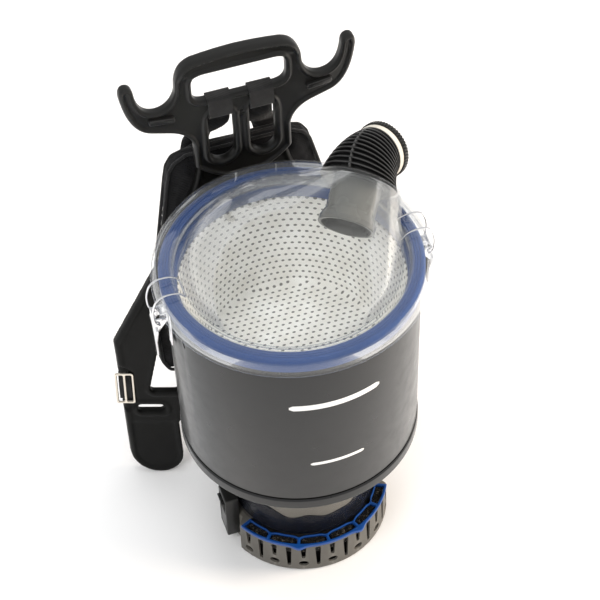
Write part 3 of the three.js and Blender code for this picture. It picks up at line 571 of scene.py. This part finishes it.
def softened(node, look, bevel, slot="black_plastic"):
    """A piece that stands for a CAD node: its own shape with rounded edges."""
    source = frame["nodes"][node]
    piece = in_scene(node + "_soft", source.data.copy())
    bm = bmesh.new()
    bm.from_mesh(piece.data)
    bmesh.ops.remove_doubles(bm, verts=bm.verts, dist=2e-6)
    bmesh.ops.dissolve_limit(bm, angle_limit=radians(3), verts=bm.verts, edges=bm.edges)
    bm.to_mesh(piece.data)
    bm.free()
    round_off = piece.modifiers.new("round", "BEVEL")
    round_off.width, round_off.segments = bevel * MM, 3
    round_off.limit_method, round_off.angle_limit = "ANGLE", radians(32)
    baked(piece)
    return dress(piece, look, source["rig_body"], slot, [node])


def lying(shape):
    """Turns a plate made in X and Z so that it lies in X and Y, thick along Z."""
    return [Vector((v.x, v.z, v.y)) for v in shape[0]], shape[1]


# ---- camera, floor and light
CAMERA_AT = Vector((-0.4489, -1.5503, 2.1640))
AZIMUTH, ELEVATION, ROLL = radians(-16.4), radians(48.1), radians(-2.7)


def add_camera():
    """The main view: it looks down on the front, a little from the left."""
    forward = -Vector((sin(AZIMUTH) * cos(ELEVATION),
                       -cos(AZIMUTH) * cos(ELEVATION), sin(ELEVATION)))
    right = Vector((cos(AZIMUTH), sin(AZIMUTH), 0))
    up = right.cross(forward)
    tilted_right = right * cos(ROLL) + up * sin(ROLL)
    tilted_up = up * cos(ROLL) - right * sin(ROLL)
    data = bpy.data.cameras.new("camera")
    data.lens, data.sensor_width, data.clip_end = 133.4, 36, 50
    camera = in_scene("camera", data)
    camera.matrix_world = Matrix((tilted_right, tilted_up, -forward)).transposed().to_4x4()
    camera.location = CAMERA_AT
    bpy.context.scene.camera = camera


def add_light(name, place, target, width, power, tint="ffffff"):
    """A soft round light that leaves no bright disc in glossy surfaces."""
    data = bpy.data.lights.new(name, "AREA")
    data.shape, data.size, data.energy, data.color = "DISK", width, power, srgb(tint)[:3]
    lamp = in_scene(name, data)
    lamp.location = place
    lamp.visible_glossy = False
    lamp.rotation_euler = (Vector(target) - Vector(place)).to_track_quat("-Z", "Y").to_euler()


def add_studio():
    mesh = bpy.data.meshes.new("floor")
    mesh.from_pydata([(-9, -9, 0), (9, -9, 0), (9, 9, 0), (-9, 9, 0)], [], [(0, 1, 2, 3)])
    floor = in_scene("floor", mesh)
    paper = Nodes("paper")
    paper.set(Roughness=0.85)
    tone = paper.blend(paper.noise(3, 2), srgb("f6f6f6"), srgb("fbfbfb"))
    paper.feed("Base Color", tone)
    floor.data.materials.append(paper.material)
    world = bpy.data.worlds.new("world")
    world.use_nodes = True
    sky = world.node_tree.nodes["Background"].inputs
    sky["Color"].default_value = (1, 1, 1, 1)
    sky["Strength"].default_value = 0.7
    bpy.context.scene.world = world
    add_light("key", (-1.6, -1.2, 2.4), (0, 0, 0.3), 1.4, 28)
    add_light("side", (2.2, -0.6, 1.1), (0, 0, 0.3), 1.2, 70, "fff0df")
    add_light("top", (0.1, 0.6, 2.8), (0, 0, 0.3), 1.6, 30)
    bpy.context.scene.view_settings.view_transform = "Standard"


# ---- canister, filter and lid
def canister():
    section = [(LOW_R - WALL, LOW_Z), (LOW_R, LOW_Z), (TOP_R, TOP_Z), (TOP_R - WALL, TOP_Z)]
    wall = lathe_piece("canister_wall", section, "canister", radius=1.2, slot="canister_plastic",
                       replaces=["canister"])
    slot = rounded(box(-1.5, -5, 1.5, 5), 1.2)
    outwards = Matrix(((0, 0, 1, 0), (1, 0, 0, 0), (0, 1, 0, 0), (0, 0, 0, 1)))
    place = (Matrix.Rotation(radians(195), 4, "Z") @ Matrix.Translation((138, 0, 383))
             @ Matrix.Rotation(radians(12), 4, "X") @ outwards)
    carved_by(wall, prism(slot, place, 12))
    dress(wall, "canister", slot="canister_plastic")
    lathe_piece("canister_pan", [
        (52, 168), (134, 168), (136.4, 171), (136.4, 182.6), (134.6, 185.2), (131.6, 185.2),
        (131.6, 200), (128.6, 200), (128.6, 172), (52, 172)], "canister", radius=1.5,
        slot="canister_plastic", replaces=["canister_base"])
    # A thin near-black ring in the seam groove between pan and canister: painted shade for the groove.
    lathe_piece("seam_groove_shadow", [(131.8, 185.4), (135.5, 185.4), (135.6, 187.6), (131.8, 187.6)], "dark",
                radius=0.3, slot="rubber")
    for number, (z, width, height) in enumerate([(348, 104, 8), (249, 62, 4.5)]):
        white_bar(f"mark_{number}", z, width, height)


def white_bar(name, z, width, height, middle=-89):
    """A plain bar that lies on the canister's wall."""
    slope = (TOP_R - LOW_R) / (TOP_Z - LOW_Z)
    columns, sections = 24, []
    for i in range(columns + 1):
        s = width * (i / columns - 0.5)
        fall = height / 2 - 0.3 * height * max(0, abs(2 * i / columns - 1) - 0.94) / 0.06
        section = []
        for lift, t in ((0.0, -fall), (0.0, fall), (0.15, fall), (0.15, -fall)):
            radius = LOW_R + slope * (z + t - LOW_Z) + lift
            section.append(polar(radius, radians(middle) + s / radius, z + t))
        sections.append(section)
    mesh_piece(name, *loft(sections), "mark", slot="pale_plastic", sharp=60)


def filter_ring():
    top = [(129, 429.9)]
    for r in (131, 134, 137):
        top += [(r - 0.6, 429.9), (r - 0.3, 429.1), (r + 0.5, 429.1), (r + 0.8, 429.9)]
    profile = [(124, 400.2), (127, 400.2), (129, 413.3), (143, 413.3), (143, 426.5), (140.5, 430),
               *reversed(top), (127.9, 424), (127.9, 417), (124, 413)]
    lathe_piece("filter_ring_blue", profile, "ring", radius=0.5, slot="blue_ring", replaces=["filter_ring"])


def filter_bag():
    profile = [(0.01, 290), (89, 290), (97, 296), (124, 387.5), (128, 395.5), (128, 399.5),
               (122.4, 399.5), (122.4, 388), (95.4, 297.6), (89, 291.6), (0.01, 291.6)]
    lathe_piece("filter_bag_felt", profile, "bag", radius=3, slot="filter_fabric", replaces=["filter_bag"])


def hull(points):
    """The convex hull of the points."""
    bm = bmesh.new()
    for p in points:
        bm.verts.new(p)
    found = bmesh.ops.convex_hull(bm, input=bm.verts)
    loose = [g for g in found["geom_interior"] if isinstance(g, bmesh.types.BMVert)]
    bmesh.ops.delete(bm, geom=list(set(loose)), context="VERTS")
    bm.verts.index_update()
    verts = [v.co.copy() for v in bm.verts]
    faces = [tuple(v.index for v in f.verts) for f in bm.faces]
    bm.free()
    return verts, faces


def dome_shape(shrink, base):
    """The hull of the dome's cap and the round end of the inlet boss."""
    radius, points = DOME_R - shrink, []
    low = math.asin((base - DOME_Z) / radius)
    for i in range(22):
        tilt = low + (pi / 2 - low) * i / 22
        points += [polar(radius * cos(tilt), tau * j / 96, DOME_Z + radius * sin(tilt)) for j in range(96)]
    points.append((0, 0, DOME_Z + radius))
    place = placed(BOSS - BOSS_AXIS * shrink, BOSS_AXIS)
    for back, r in ((0, BOSS_R - 2.5), (0.8, BOSS_R - 0.8), (2.5, BOSS_R)):
        points += [place @ polar(r - shrink, tau * j / 80, -back) for j in range(80)]
    return hull(points)


def trimmed_dome(piece, shrink):
    """Takes the room for the filter ring and for the right latch off a dome."""
    carved_by(piece, turned(box(VALLEY_R + 2.6 - shrink, 380, 220, 431 + shrink), 96))
    block = box(118.9 - shrink, -18 - shrink, 220, 18 + shrink)
    carved_by(piece, loft([[Vector((x, y, z)) for x, y in block] for z in (VALLEY_Z, 458 + shrink)]))


def lid():
    shell = mesh_piece("lid_dome", *dome_shape(0, 425), "clear", slot="clear_plastic", replaces=["lid"])
    trimmed_dome(shell, 0)
    inside = mesh_piece("inside", *dome_shape(LID_WALL, 421), "clear")
    trimmed_dome(inside, LID_WALL)
    less(shell, inside)
    seat = placed(BOSS, BOSS_AXIS)
    carved_by(shell, turned(box(0.01, -20, 28.3, 20), 80, seat))
    dress(shell, "clear", slot="clear_plastic", sharp=24)
    lathe_piece("lid_flange", [
        (149.2, 415), (152, 415), (151.6, 418), (150.2, 419), (150.2, 429), (147.5, 434), (144.6, 435),
        (143.6, 434.2), (141.8, 434.2), (140.8, 435), (129.6, 435), (125, 431), (123.8, 426.1),
        (118.3, 426.1), (118.3, 423.4), (126.2, 423.4), (126.8, 429), (130.6, 432.4), (145, 432.4),
        (147, 428.5)], "clear", radius=0.9, slot="clear_plastic", sharp=50)
    lathe_piece("inlet_pipe", [
        (27.5, -52), (31.5, -52), (31.5, -46), (29.5, -41), (27.2, -36), (27.2, -3), (28, -2.6), (28, -0.5),
        (24.6, -0.5), (24.6, -37), (26, -42)], "tube", radius=1.2, segments=80, place=seat,
        slot="smoked_plastic", replaces=["inlet_tube"])


# ---- elbow
def elbow_station(fraction):
    """Centre, direction and outward spoke of the elbow's bend at a fraction from 0 to 1."""
    plane = BOSS_AXIS.cross(HOSE_AXIS).normalized()
    angle = BOSS_AXIS.angle(HOSE_AXIS)
    radius = ELBOW_CHORD / (2 * sin(angle / 2))
    inward = plane.cross(BOSS_AXIS)
    centre = BOSS + BOSS_AXIS * 0.3 + inward * radius
    turn = Quaternion(plane, angle * fraction)
    spoke = turn @ -inward
    return centre + spoke * radius, turn @ BOSS_AXIS, spoke


def elbow():
    """The ribbed cuff, its pale collar and the knurled lock ring."""
    ribs, sides, per_rib, depth = 11, 120, 16, 4.2
    turns = [tau * j / sides for j in range(sides)]

    def hoop(fraction, radii):
        point, along, spoke = elbow_station(fraction)
        across = along.cross(spoke)
        return [point + (spoke * cos(a) + across * sin(a)) * r for a, r in zip(turns, radii)]

    rings = []
    for i in range(ribs * per_rib + 1):
        fraction = i / (ribs * per_rib)
        core = ELBOW_BASE_R + (ELBOW_END_R - ELBOW_BASE_R) * fraction
        phase = (i % per_rib) / per_rib
        groove = 0.0
        if i < ribs * per_rib:
            groove = float(ease(phase, 0.18, 0.3) * (1 - ease(phase, 0.88, 1.0)))
        spine = radians(22 - 29 * fraction)  # where the rib along the bend stands
        away = [abs((a - spine + pi) % tau - pi) for a in turns]
        rings.append(hoop(fraction, [core - depth * groove * float(ease(d, 0.03, 0.07)) for d in away]))
    for i in range(8, -1, -1):
        rings.append(hoop(i / 8, [20 + 3 * (1 - i / 8)] * sides))
    mesh_piece("elbow_ribbed", *loft(rings, cyclic=True), "fins", body="elbow", replaces=["hose_elbow"],
               sharp=50)
    seat = placed(elbow_station(1)[0] + HOSE_AXIS * 0.3, HOSE_AXIS)
    profile = [(20, 0), (31, 0), (31, 6.6), (26, 6.6), (26, 15), (20, 15)]
    lathe_piece("collar_pale", profile, "pale", radius=0.8, segments=80, place=seat, body="elbow",
                slot="pale_plastic", replaces=["elbow_collar"])
    teeth, sections = 54, []
    for j in range(teeth * 6):
        angle = tau * j / (teeth * 6)
        out = 32.5 - (0.9 if j % 6 in (0, 1) else 0)
        ring = [(26.3, 7.1), (out - 0.8, 7.0), (out, 7.8), (out, 13.3), (out - 0.8, 14.2), (26.3, 14.2)]
        sections.append([seat @ polar(r, angle, z) for r, z in ring])
    mesh_piece("lock_ring_knurled", *loft(sections, cyclic=True), "black", body="hose_ring",
               replaces=["hose_lock_ring"], sharp=35)


# ---- neck and base
def neck():
    lathe_piece("neck_smoked", [
        (60, 167.6), (85.5, 167.6), (85.5, 48.4), (82.5, 48.4), (82.5, 163.6), (60, 163.6)],
        "smoked", radius=1.5, slot="smoked_plastic", replaces=["motor_housing"])
    lathe_piece("neck_liner", box(80.2, 66, 81.2, 162), "liner", radius=0.3, slot="smoked_plastic")
    sections = []
    for j in range(180):
        angle = tau * j / 180
        ragged = 3 * sin(angle * 7 + 1) + 2 * sin(angle * 13)
        top = 77 + 22 * cos(angle) ** 2 + ragged
        wobble = 0.25 * sin(angle * 17)
        ring = [(81.3, 49), (82.3, 49), (82.3, top - 2 + wobble), (81.9, top), (81.3, top)]
        sections.append([polar(r, angle, z) for r, z in ring])
    mesh_piece("foam_wrap", *loft(sections, cyclic=True), "wrap", slot="foam", sharp=60)


def foot_radius(degrees):
    """Radius of the foot at an angle: larger along the front."""
    turn = (degrees + 180) % 360 - 180
    start, end = FOOT_FRONT
    front = float(ease(turn, start - 2, start + 2) * (1 - ease(turn, end - 2, end + 2)))
    return FOOT_REAR_R + (FOOT_R - FOOT_REAR_R) * front


def foot():
    section = rounded([(-3, 0.2), (-1.6, 0.2), (0, 2.6), (0, FOOT_TOP), (-3, FOOT_TOP)], 0.8, steps=3)
    sections = [[polar(foot_radius(j) + r, radians(j), z) for r, z in section] for j in range(360)]
    wall = mesh_piece("foot_wall", *loft(sections, cyclic=True), "foot", slot="foot_plastic",
                      replaces=["base_ring"])
    cutters = []
    for i in range(13):
        degrees = -148 + 10 * i
        low = 24 if i % 2 == 0 else 9
        slot = rounded([(-2.1, low), (2.1, low), (3.5, 44), (-3.5, 44)], 1.9)
        cutters.append(radial_prism(slot, degrees))
        if i % 2 == 0:
            turns = [tau * k / 24 for k in range(24)]
            oval = [(6.0 * cos(a), 13.5 + 4.6 * sin(a)) for a in turns]
            cutters.append(radial_prism(oval, degrees))
    carved_by(wall, merged(*cutters))
    dress(wall, "foot", slot="foot_plastic", sharp=30)
    # A near-black sheet behind the foot's slots: painted shade for the dark inside seen through them.
    liner = [[polar(r, radians(d), z) for r, z in box(92.5, 3.4, 93.5, 29.5)] for d in range(-155, -24, 3)]
    mesh_piece("foot_slot_shade_sheet", *loft(liner), "dark", slot="foot_plastic")
    deck = []
    for j in range(-26, 207, 2):
        ring = rounded(box(78, 45.4, foot_radius(j) - 0.6, 48), 0.7, steps=2)
        deck.append([polar(r, radians(j), z) for r, z in ring])
    mesh_piece("foot_deck", *loft(deck), "foot", slot="foot_plastic")


def radial_prism(outline, degrees):
    """A prism along the radius at an angle, from an outline across it and up."""
    rings = [[Vector((r, y, z)) for y, z in outline] for r in (FOOT_REAR_R - 4, FOOT_R + 6)]
    return spun(loft(rings), degrees)


def exhaust():
    edges = [EXHAUST_ARC[0] + 1, *DIVIDERS, EXHAUST_ARC[1] - 1]

    def near(degrees, places, reach):
        return sum(math.exp(-((degrees - d) / reach) ** 2) for d in places)

    def band(inner, outer, start, end, bulge=0.0):
        count = max(6, int((end - start) / 1.0))
        turns = [start + (end - start) * i / count for i in range(count + 1)]
        far = [(outer + bulge * near(t, CLIPS, 4.2), t) for t in turns]
        close = [(inner + 2.6 * near(t, DIVIDERS, 3.0), t) for t in reversed(turns)]
        return [(r * cos(radians(t)), r * sin(radians(t))) for r, t in far + close]

    cells = [rounded(band(87.9, 98.0, a + 1.0, b - 1.0), 1.2, steps=2) for a, b in zip(edges, edges[1:])]
    grid = lying(flat_plate(band(86, 101, *EXHAUST_ARC, bulge=4.4), cells, 46.3, 50.5, 0.8))
    mesh_piece("exhaust_grid", *grid, "grid", slot="blue_frame", replaces=["exhaust_frame"])
    sections = []
    start, end, step = EXHAUST_ARC[0] + 1.2, EXHAUST_ARC[1] - 1.2, 0.25
    for j in range(int((end - start) / step) + 1):
        degrees = start + j * step
        edge = min(abs(degrees - d) for d in (*DIVIDERS, *EXHAUST_ARC))
        lift = 2.2 * float(ease(edge, 1.6, 3.2))
        ring = [(87, 31), (96.4, 31)]
        for k in range(7):
            bump = 0.5 * sin(degrees * 7.1 + k * 2.4) + 0.35 * sin(degrees * 3.3 - k)
            ring.append((96.4 - k * 1.55, 45.6 + lift + bump * (0.3 + lift / 3)))
        sections.append([polar(r, radians(degrees), z) for r, z in ring])
    mesh_piece("exhaust_sponge", *loft(sections), "foam", slot="foam", replaces=["exhaust_foam"], sharp=60)


# ---- latches
def latches():
    arc = [BAIL_PIVOT, (156.2, 400.5), (158, 408), (157.9, 420), (154.2, 432.4), (147.6, 438.2),
           (139, 439.4), (130, 438.0), (124.4, 434.6), (121.2, 430.6)]
    for side, turn in (("right", 0), ("left", 180)):
        one = [(u, 12.5, z) for u, z in arc]
        other = [(u, -12.5, z) for u, z in reversed(arc)]
        across = [(120.7, y, 429.6) for y in (10, 4, -4, -10)]
        start, end = ((BAIL_PIVOT[0], y, BAIL_PIVOT[1]) for y in (9.4, -9.4))
        path = [start, *one, *across, *other, end]
        mesh_piece(f"bail_wire_{side}", *spun(wire(path, 1.1, 14, 8), turn), "chrome", body=f"bail_{side}",
                   slot="chrome", replaces=[f"latch_bail_{side}"], sharp=70)
        softened(f"latch_lever_{side}", "chrome", 0.55, "chrome")
        softened(f"latch_bracket_{side}", "chrome", 0.4, "chrome")


# ---- harness head
def bezier(a, b, c, steps=10):
    """The points after the first one on a curve from a to c that leans towards b."""
    return [(a[0] * (1 - t) ** 2 + 2 * b[0] * t * (1 - t) + c[0] * t * t,
             a[1] * (1 - t) ** 2 + 2 * b[1] * t * (1 - t) + c[1] * t * t)
            for t in ((k + 1) / steps for k in range(steps))]


def head_outline():
    half = [(0, 403)]
    for corner, end in (
            ((34, 406), (56, 431)), (None, (56, 464)), ((60, 485), (82, 492)), (None, (104, 499)),
            ((127, 508), (133, 558)), ((133, 570), (125.5, 570.5)), ((117, 570), (116.5, 559)),
            ((113, 527), (94, 526.5)), ((78, 527), (72, 548)), (None, (71, 562)),
            ((67, 582), (50, 586)), ((25, 589.5), (0, 590))):
        half += bezier(half[-1], corner, end) if corner else [end]
    return half + [(-x, z) for x, z in reversed(half[1:-1])]


def stadium(x, half, low, high, steps=16):
    points = [(x + half * cos(a), high - half + half * sin(a))
              for a in (pi * k / steps for k in range(steps + 1))]
    return points + [(2 * x - px, low + high - pz) for px, pz in points]


def harness_head():
    outline = head_outline()
    grip = rounded(box(-53, 527, 53, 566), 14, steps=8)
    slots = [stadium(s * 23.6, 14.5, 433, 511) for s in (-1, 1)]
    shape = flat_plate(outline, [grip, *slots], HEAD_Y, HEAD_Y + HEAD_DEPTH, 4)
    head = remeshed("head_plate", shape, 1.5, "black", smoothing=3, replaces=["harness_head"])
    x, y, z = points_of(head).T
    rim = edge_distance(x, z, outline)
    for hole in (grip, *slots):
        rim = np.minimum(rim, edge_distance(x, z, hole))
    front = 1 - ease(y, HEAD_Y + 3, HEAD_Y + 9)
    back = ease(y, HEAD_Y + 5, HEAD_Y + 11)
    field = ease(rim, 4.2, 6.5)
    button = 1 - ease(np.abs(np.hypot(x, z - 500) - 3.6), 0.6, 1.8)
    slot_rim = np.minimum(edge_distance(x, z, slots[0]), edge_distance(x, z, slots[1]))
    collar = (1 - ease(slot_rim, 5.5, 7.5)) * (1 - ease(z, 486, 500))
    y = y + front * (2.8 * field - 2.4 * collar * field - 1.8 * button) - back * 1.2 * field
    grip_zone = ease(z, 562, 568) * (1 - ease(np.abs(x), 62, 74))
    y = 172 + (y - 172) * (1 + 0.28 * grip_zone)
    lip = (1 - ease(z, 404, 424)) * (1 - ease(np.abs(x), 30, 46))
    y = y - front * 1.2 * lip
    set_points(head, x, y, z)
    dress(head, "black", sharp=60)
    for side, name in SIDES:
        rest = rounded([(side * 75, 509), (side * 104, 512.5), (side * 104, 519.5), (side * 75, 516)], 3.4)
        rib = flat_plate(rest, [], HEAD_Y - 1.6, HEAD_Y + 4, 1.3)
        mesh_piece(f"hook_rib_{name}", *rib, "gloss", sharp=60)


# ---- back frame
def spine_y(z):
    return np.where(z > 400, 172, np.where(z > 180, 155 + 17 * (z - 180) / 220,
                                           155 - 25 * np.clip((180 - z) / 80, 0, 1)))


def frame_y(x, z):
    """Distance of the back frame's front face from the canister's axis."""
    side = np.abs(x)
    blend = ease(side, 70, 120)
    return (1 - blend) * spine_y(z) + blend * (102 + WING_LEAN * (side - 150) + WING_RISE * z)


def mirrored(points):
    return [*points, *[(-x, z) for x, z in reversed(points)]]


def frame_outline():
    foot_arc = [(150 + 30 * cos(pi * i / 16), 30 - 30 * sin(pi * i / 16)) for i in range(17)]
    upper = rounded([(52, 424), (57, 402), (64, 384), (122, 295), (177, 196), (177, 177)], 8, closed=False)
    lower = rounded([foot_arc[-1], (119, 80), (108, 84), (88, 94), (30, 94)], 5, closed=False)
    return mirrored([*upper, *foot_arc, *lower[1:]])


WINDOW = [(147, 124), (131, 182), (106, 288), (92, 288), (90, 124)]


def back_frame():
    outline = frame_outline()
    windows = [rounded([(s * x, z) for x, z in WINDOW], 6) for s in (-1, 1)]
    slots = [rounded(box(s * 148 - 15, 94, s * 148 + 15, 105), 4) for s in (-1, 1)]
    passages = [[(s * ADJUSTER_X + x / WING_STRETCH, ADJUSTER_Z + z) for x, z in box(-8, -24, 8, 24)]
                for s in (-1, 1)]
    shape = flat_plate(outline, windows + slots, 0, FRAME_DEPTH, 2)
    plate = remeshed("back_plate", shape, 2.0, "frame", smoothing=3, replaces=["back_frame"])
    for passage in passages:
        carved_by(plate, loft([[Vector((x, y, z)) for x, z in passage] for y in (-20, 40)]))
    x, y, z = points_of(plate).T
    rim = edge_distance(x, z, outline)
    for hole in windows + slots:
        rim = np.minimum(rim, edge_distance(x, z, hole))
    front = 1 - ease(y, 2.5, 7)
    y = y + front * (1.6 * ease(rim, 5.2, 7.2) + 1.2 * (1 - ease(z, 74, 82)) * ease(rim, 4, 6))
    for s in (-1, 1):
        local_x, local_z = (x - s * ADJUSTER_X) * WING_STRETCH, z - ADJUSTER_Z
        hexed = np.maximum(np.abs(local_x) - 12, np.abs(local_z + 0.5) + 0.9 * np.abs(local_x) * 0.9 - 34)
        dip = 1 - ease(hexed, -0.6, 1.4)
        near = 1 - ease(np.hypot(local_x, local_z), 40, 60)
        y = y + front * near * dip * 2.6
    y = y + frame_y(x, z)
    set_points(plate, x, y, z)
    dress(plate, "frame", sharp=60)


# ---- fabric
def puffed(name, shape, voxel, cap, fill, pressure=4.0, **extra):
    """A padded piece: an even skin, blown up a little as cloth, with its swelling capped."""
    piece = remeshed(name, shape, voxel, "cloth", smoothing=2, **extra)
    start = points_of(piece)
    cloth = piece.modifiers.new("cloth", "CLOTH")
    settings = cloth.settings
    settings.quality, settings.mass, settings.time_scale = 5, 0.3, 1
    settings.tension_stiffness = settings.compression_stiffness = settings.shear_stiffness = 15
    settings.bending_stiffness = 0.5
    settings.use_pressure, settings.uniform_pressure_force = True, pressure
    settings.effector_weights.gravity = 0
    cloth.collision_settings.use_collision = False
    cloth.collision_settings.use_self_collision = False
    scene = bpy.context.scene
    for number in range(1, 21):
        scene.frame_set(number)
    baked(piece)
    moved = points_of(piece) - start
    size = np.linalg.norm(moved, axis=1, keepdims=True)
    set_points(piece, *(start + moved * np.minimum(1, cap / np.maximum(size, 1e-6))).T)
    scene.frame_set(1)
    smooth = piece.modifiers.new("finer", "SUBSURF")
    smooth.levels = smooth.render_levels = 1
    baked(piece)
    dress(piece, "cloth", slot="pad_fabric", sharp=80)
    return piece


def ribbon(points, across, width, thickness):
    """A flat strap along a smooth path, its edges a little rounded."""
    half, t = width / 2, thickness / 2
    top = [(-half, t * 0.4), (-half + t, t), (-half / 2, t), (0, t), (half / 2, t), (half - t, t),
           (half, t * 0.4)]
    section = top + [(-s, -n) for s, n in top]
    rings = []
    for point, along in along_path(smooth_path(points, 6)):
        side = Vector(across)
        side = (side - along * side.dot(along)).normalized()
        normal = along.cross(side).normalized()
        rings.append([point + side * s + normal * n for s, n in section])
    return loft(rings)


def back_pad():
    """The cushion with its sewn channels, and the two lines of piping round it."""
    half = [(65, 431.5), (79, 427.5), (86.5, 417), (90.5, 400), (113.5, 298), (129.5, 218), (128.5, 151),
            (121, 137.5), (30, 137.5)]
    outline = rounded(mirrored(half), 10)
    shape = flat_plate(outline, [], 0, 19, 3)
    grid_piece = remeshed("pad_start", shape, 5, "cloth", smoothing=1)
    x, y, z = points_of(grid_piece).T
    near_head = (1 - ease(np.abs(x), 52, 66)) * ease(z, 396, 410)
    y = y + frame_y(x, z) + 15.5 + 5.5 * near_head
    verts = [Vector(v) for v in np.stack([x, y, z], 1)]
    faces = [tuple(q.vertices) for q in grid_piece.data.polygons]
    bpy.data.objects.remove(grid_piece)
    pad = puffed("back_cushion", (verts, faces), 5, 4.5, 0.7, replaces=["back_pad"], slot="pad_fabric")
    x, y, z = points_of(pad).T
    outer = ease(y - frame_y(x, z), 22, 30)
    bow = 6 * (np.abs(x) / 110) ** 2
    groove = sum(np.exp(-((z - level - bow) / 3.2) ** 2) for level in (205, 275, 345))
    groove = groove + np.exp(-(x / 3.0) ** 2) * (1 - ease(z, 385, 395))
    y = y - outer * 3.6 * np.minimum(groove, 1)
    set_points(pad, x, y, z)
    trail = rounded(mirrored([(64.5, 431), (78.5, 427), (86, 416.5), (90, 400), (113, 298), (129, 218),
                              (128, 151.5), (120.5, 138), (30, 138)]), 10)
    trail = [(px * 0.967, 285 + (pz - 285) * 0.974) for px, pz in trail]
    for number, offset in enumerate((18.5, 31.5)):
        points = []
        for px, pz in trail:
            lift = 5.5 * float((1 - ease(abs(px), 56, 70)) * ease(pz, 396, 410)) if offset < 20 else 0
            points.append(Vector((px, float(frame_y(px, pz)) + offset + lift, pz)))
        points.append(points[0])
        mesh_piece(f"pad_piping_{number}", *wire(points, 2.0, 10, smooth=False), "piping",
                   slot="pad_fabric", sharp=80)


def straps():
    for side, name in SIDES:
        route = [(24, 184.8, 500), (25, 190, 470), (30, 206, 448), (40, 219, 430)]
        for z in range(400, 219, -36):
            x = 46 + (400 - z) * 0.22
            route.append((x, float(frame_y(x, z)) + 49, z))
        path = [Vector((side * x, y, z)) for x, y, z in route]
        body = ribbon(path, (1, 0, 0), 32, 6.4)
        puffed(f"shoulder_pad_{name}", body, 3, 1.6, 0.6, replaces=[f"strap_pad_{name}"], slot="pad_fabric")
        for edge in (-1, 1):
            line = [p + Vector((edge * 15.2, 0, 0)) for p in path]
            mesh_piece(f"shoulder_piping_{name}_{'inner' if edge * side < 0 else 'outer'}",
                       *wire(line, 1.2, 10, 6), "piping", slot="pad_fabric", sharp=80)
        middle_y, middle_z, x0 = 172, 514.5, side * 23.6
        rings = []
        for y, z in rounded(box(163.6, 500.4, 180.4, 528.6), 4):
            in_y = y - math.copysign(1.8, y - middle_y) if abs(y - middle_y) > 7.5 else y
            in_z = z - math.copysign(1.8, z - middle_z) if abs(z - middle_z) > 13 else z
            rings.append([Vector((x0 - 13.6, y, z)), Vector((x0 + 13.6, y, z)),
                          Vector((x0 + 13.6, in_y, in_z)), Vector((x0 - 13.6, in_y, in_z))])
        mesh_piece(f"webbing_loop_{name}", *loft(rings, cyclic=True), "webbing", slot="webbing",
                   replaces=[f"strap_loop_{name}"], sharp=45)
        place = adjuster_place(side)
        spots = [(0, 6, -18), (0, 6, 12), (0, 16, 19), (-side * 6, 44, 30), (-side * 34, 76, 56)]
        run = [place @ Vector(s) for s in spots]
        run += [Vector((side * 96, 204, 198)), Vector((side * 86, 199.2, 228))]
        mesh_piece(f"webbing_{name}", *ribbon(run, (1, WING_LEAN * side, 0), 15, 1.8),
                   "webbing", slot="webbing", replaces=[f"strap_web_{name}"], sharp=45)


def adjuster_place(side):
    """The adjuster's place: its X runs across the wing's front face and its Z up that face."""
    out = Vector((1, WING_LEAN * side, 0)).normalized()
    up = Vector((0, WING_RISE, 1)).normalized()
    normal = up.cross(out).normalized()
    up = out.cross(normal).normalized()
    spot = Vector((side * ADJUSTER_X, float(frame_y(ADJUSTER_X, ADJUSTER_Z)), ADJUSTER_Z))
    place = Matrix((out, normal, up)).transposed().to_4x4()
    return Matrix.Translation(spot) @ place


def adjusters():
    for side, name in SIDES:
        outline = rounded(box(-11.5, -23, 11.5, 23), 3.5)
        windows = [rounded(box(a, -20, b, 20), 1.6) for a, b in ((-8.6, -1.6), (1.6, 8.6))]
        shape = flat_plate(outline, windows, 0.7, 3.4, 1.1)
        place = adjuster_place(side)
        mesh_piece(f"triglide_{name}", [place @ v for v in shape[0]], shape[1], "nickel",
                   body=f"adjuster_{name}", slot="nickel", replaces=[f"adjuster_{name}"], sharp=40)


# ---- what keeps its CAD shape
KEPT = {
    "clear": ("swivel_retainer",),
    "foam": ("premotor_filter",),
    "black": ("filter_retainer",),
    "foot": ("base_cover",),
    "steel": ("fan_case", "impeller", "motor_can", "motor_shaft", "bearing_lower", "bearing_upper",
              "base_screw_front_left", "base_screw_front_right", "base_screw_rear",
              "bracket_screw_1", "bracket_screw_2", "bracket_screw_3", "bracket_screw_4"),
    "copper": ("motor_field", "armature"),
    "rubber": ("motor_gasket", "motor_mount", "brush_left", "brush_right"),
    "chrome": ("latch_pin_left", "latch_pin_right"),
}


def kept_nodes():
    for look, names in KEPT.items():
        for name in names:
            node = frame["nodes"][name]
            node.data.materials.clear()
            node.data.materials.append(LOOKS[look])


add_camera()
add_studio()
canister()
filter_ring()
filter_bag()
lid()
elbow()
neck()
foot()
exhaust()
latches()
harness_head()
back_frame()
back_pad()
straps()
adjusters()
for node, look, bevel in (("switch_bezel", "black", 1.6), ("switch_rocker", "gloss", 0.9),
                          ("cord_inlet", "rubber", 0.5), ("mount_bracket_upper", "black", 1.2),
                          ("mount_bracket_lower", "black", 1.2)):
    softened(node, look, bevel)
kept_nodes()
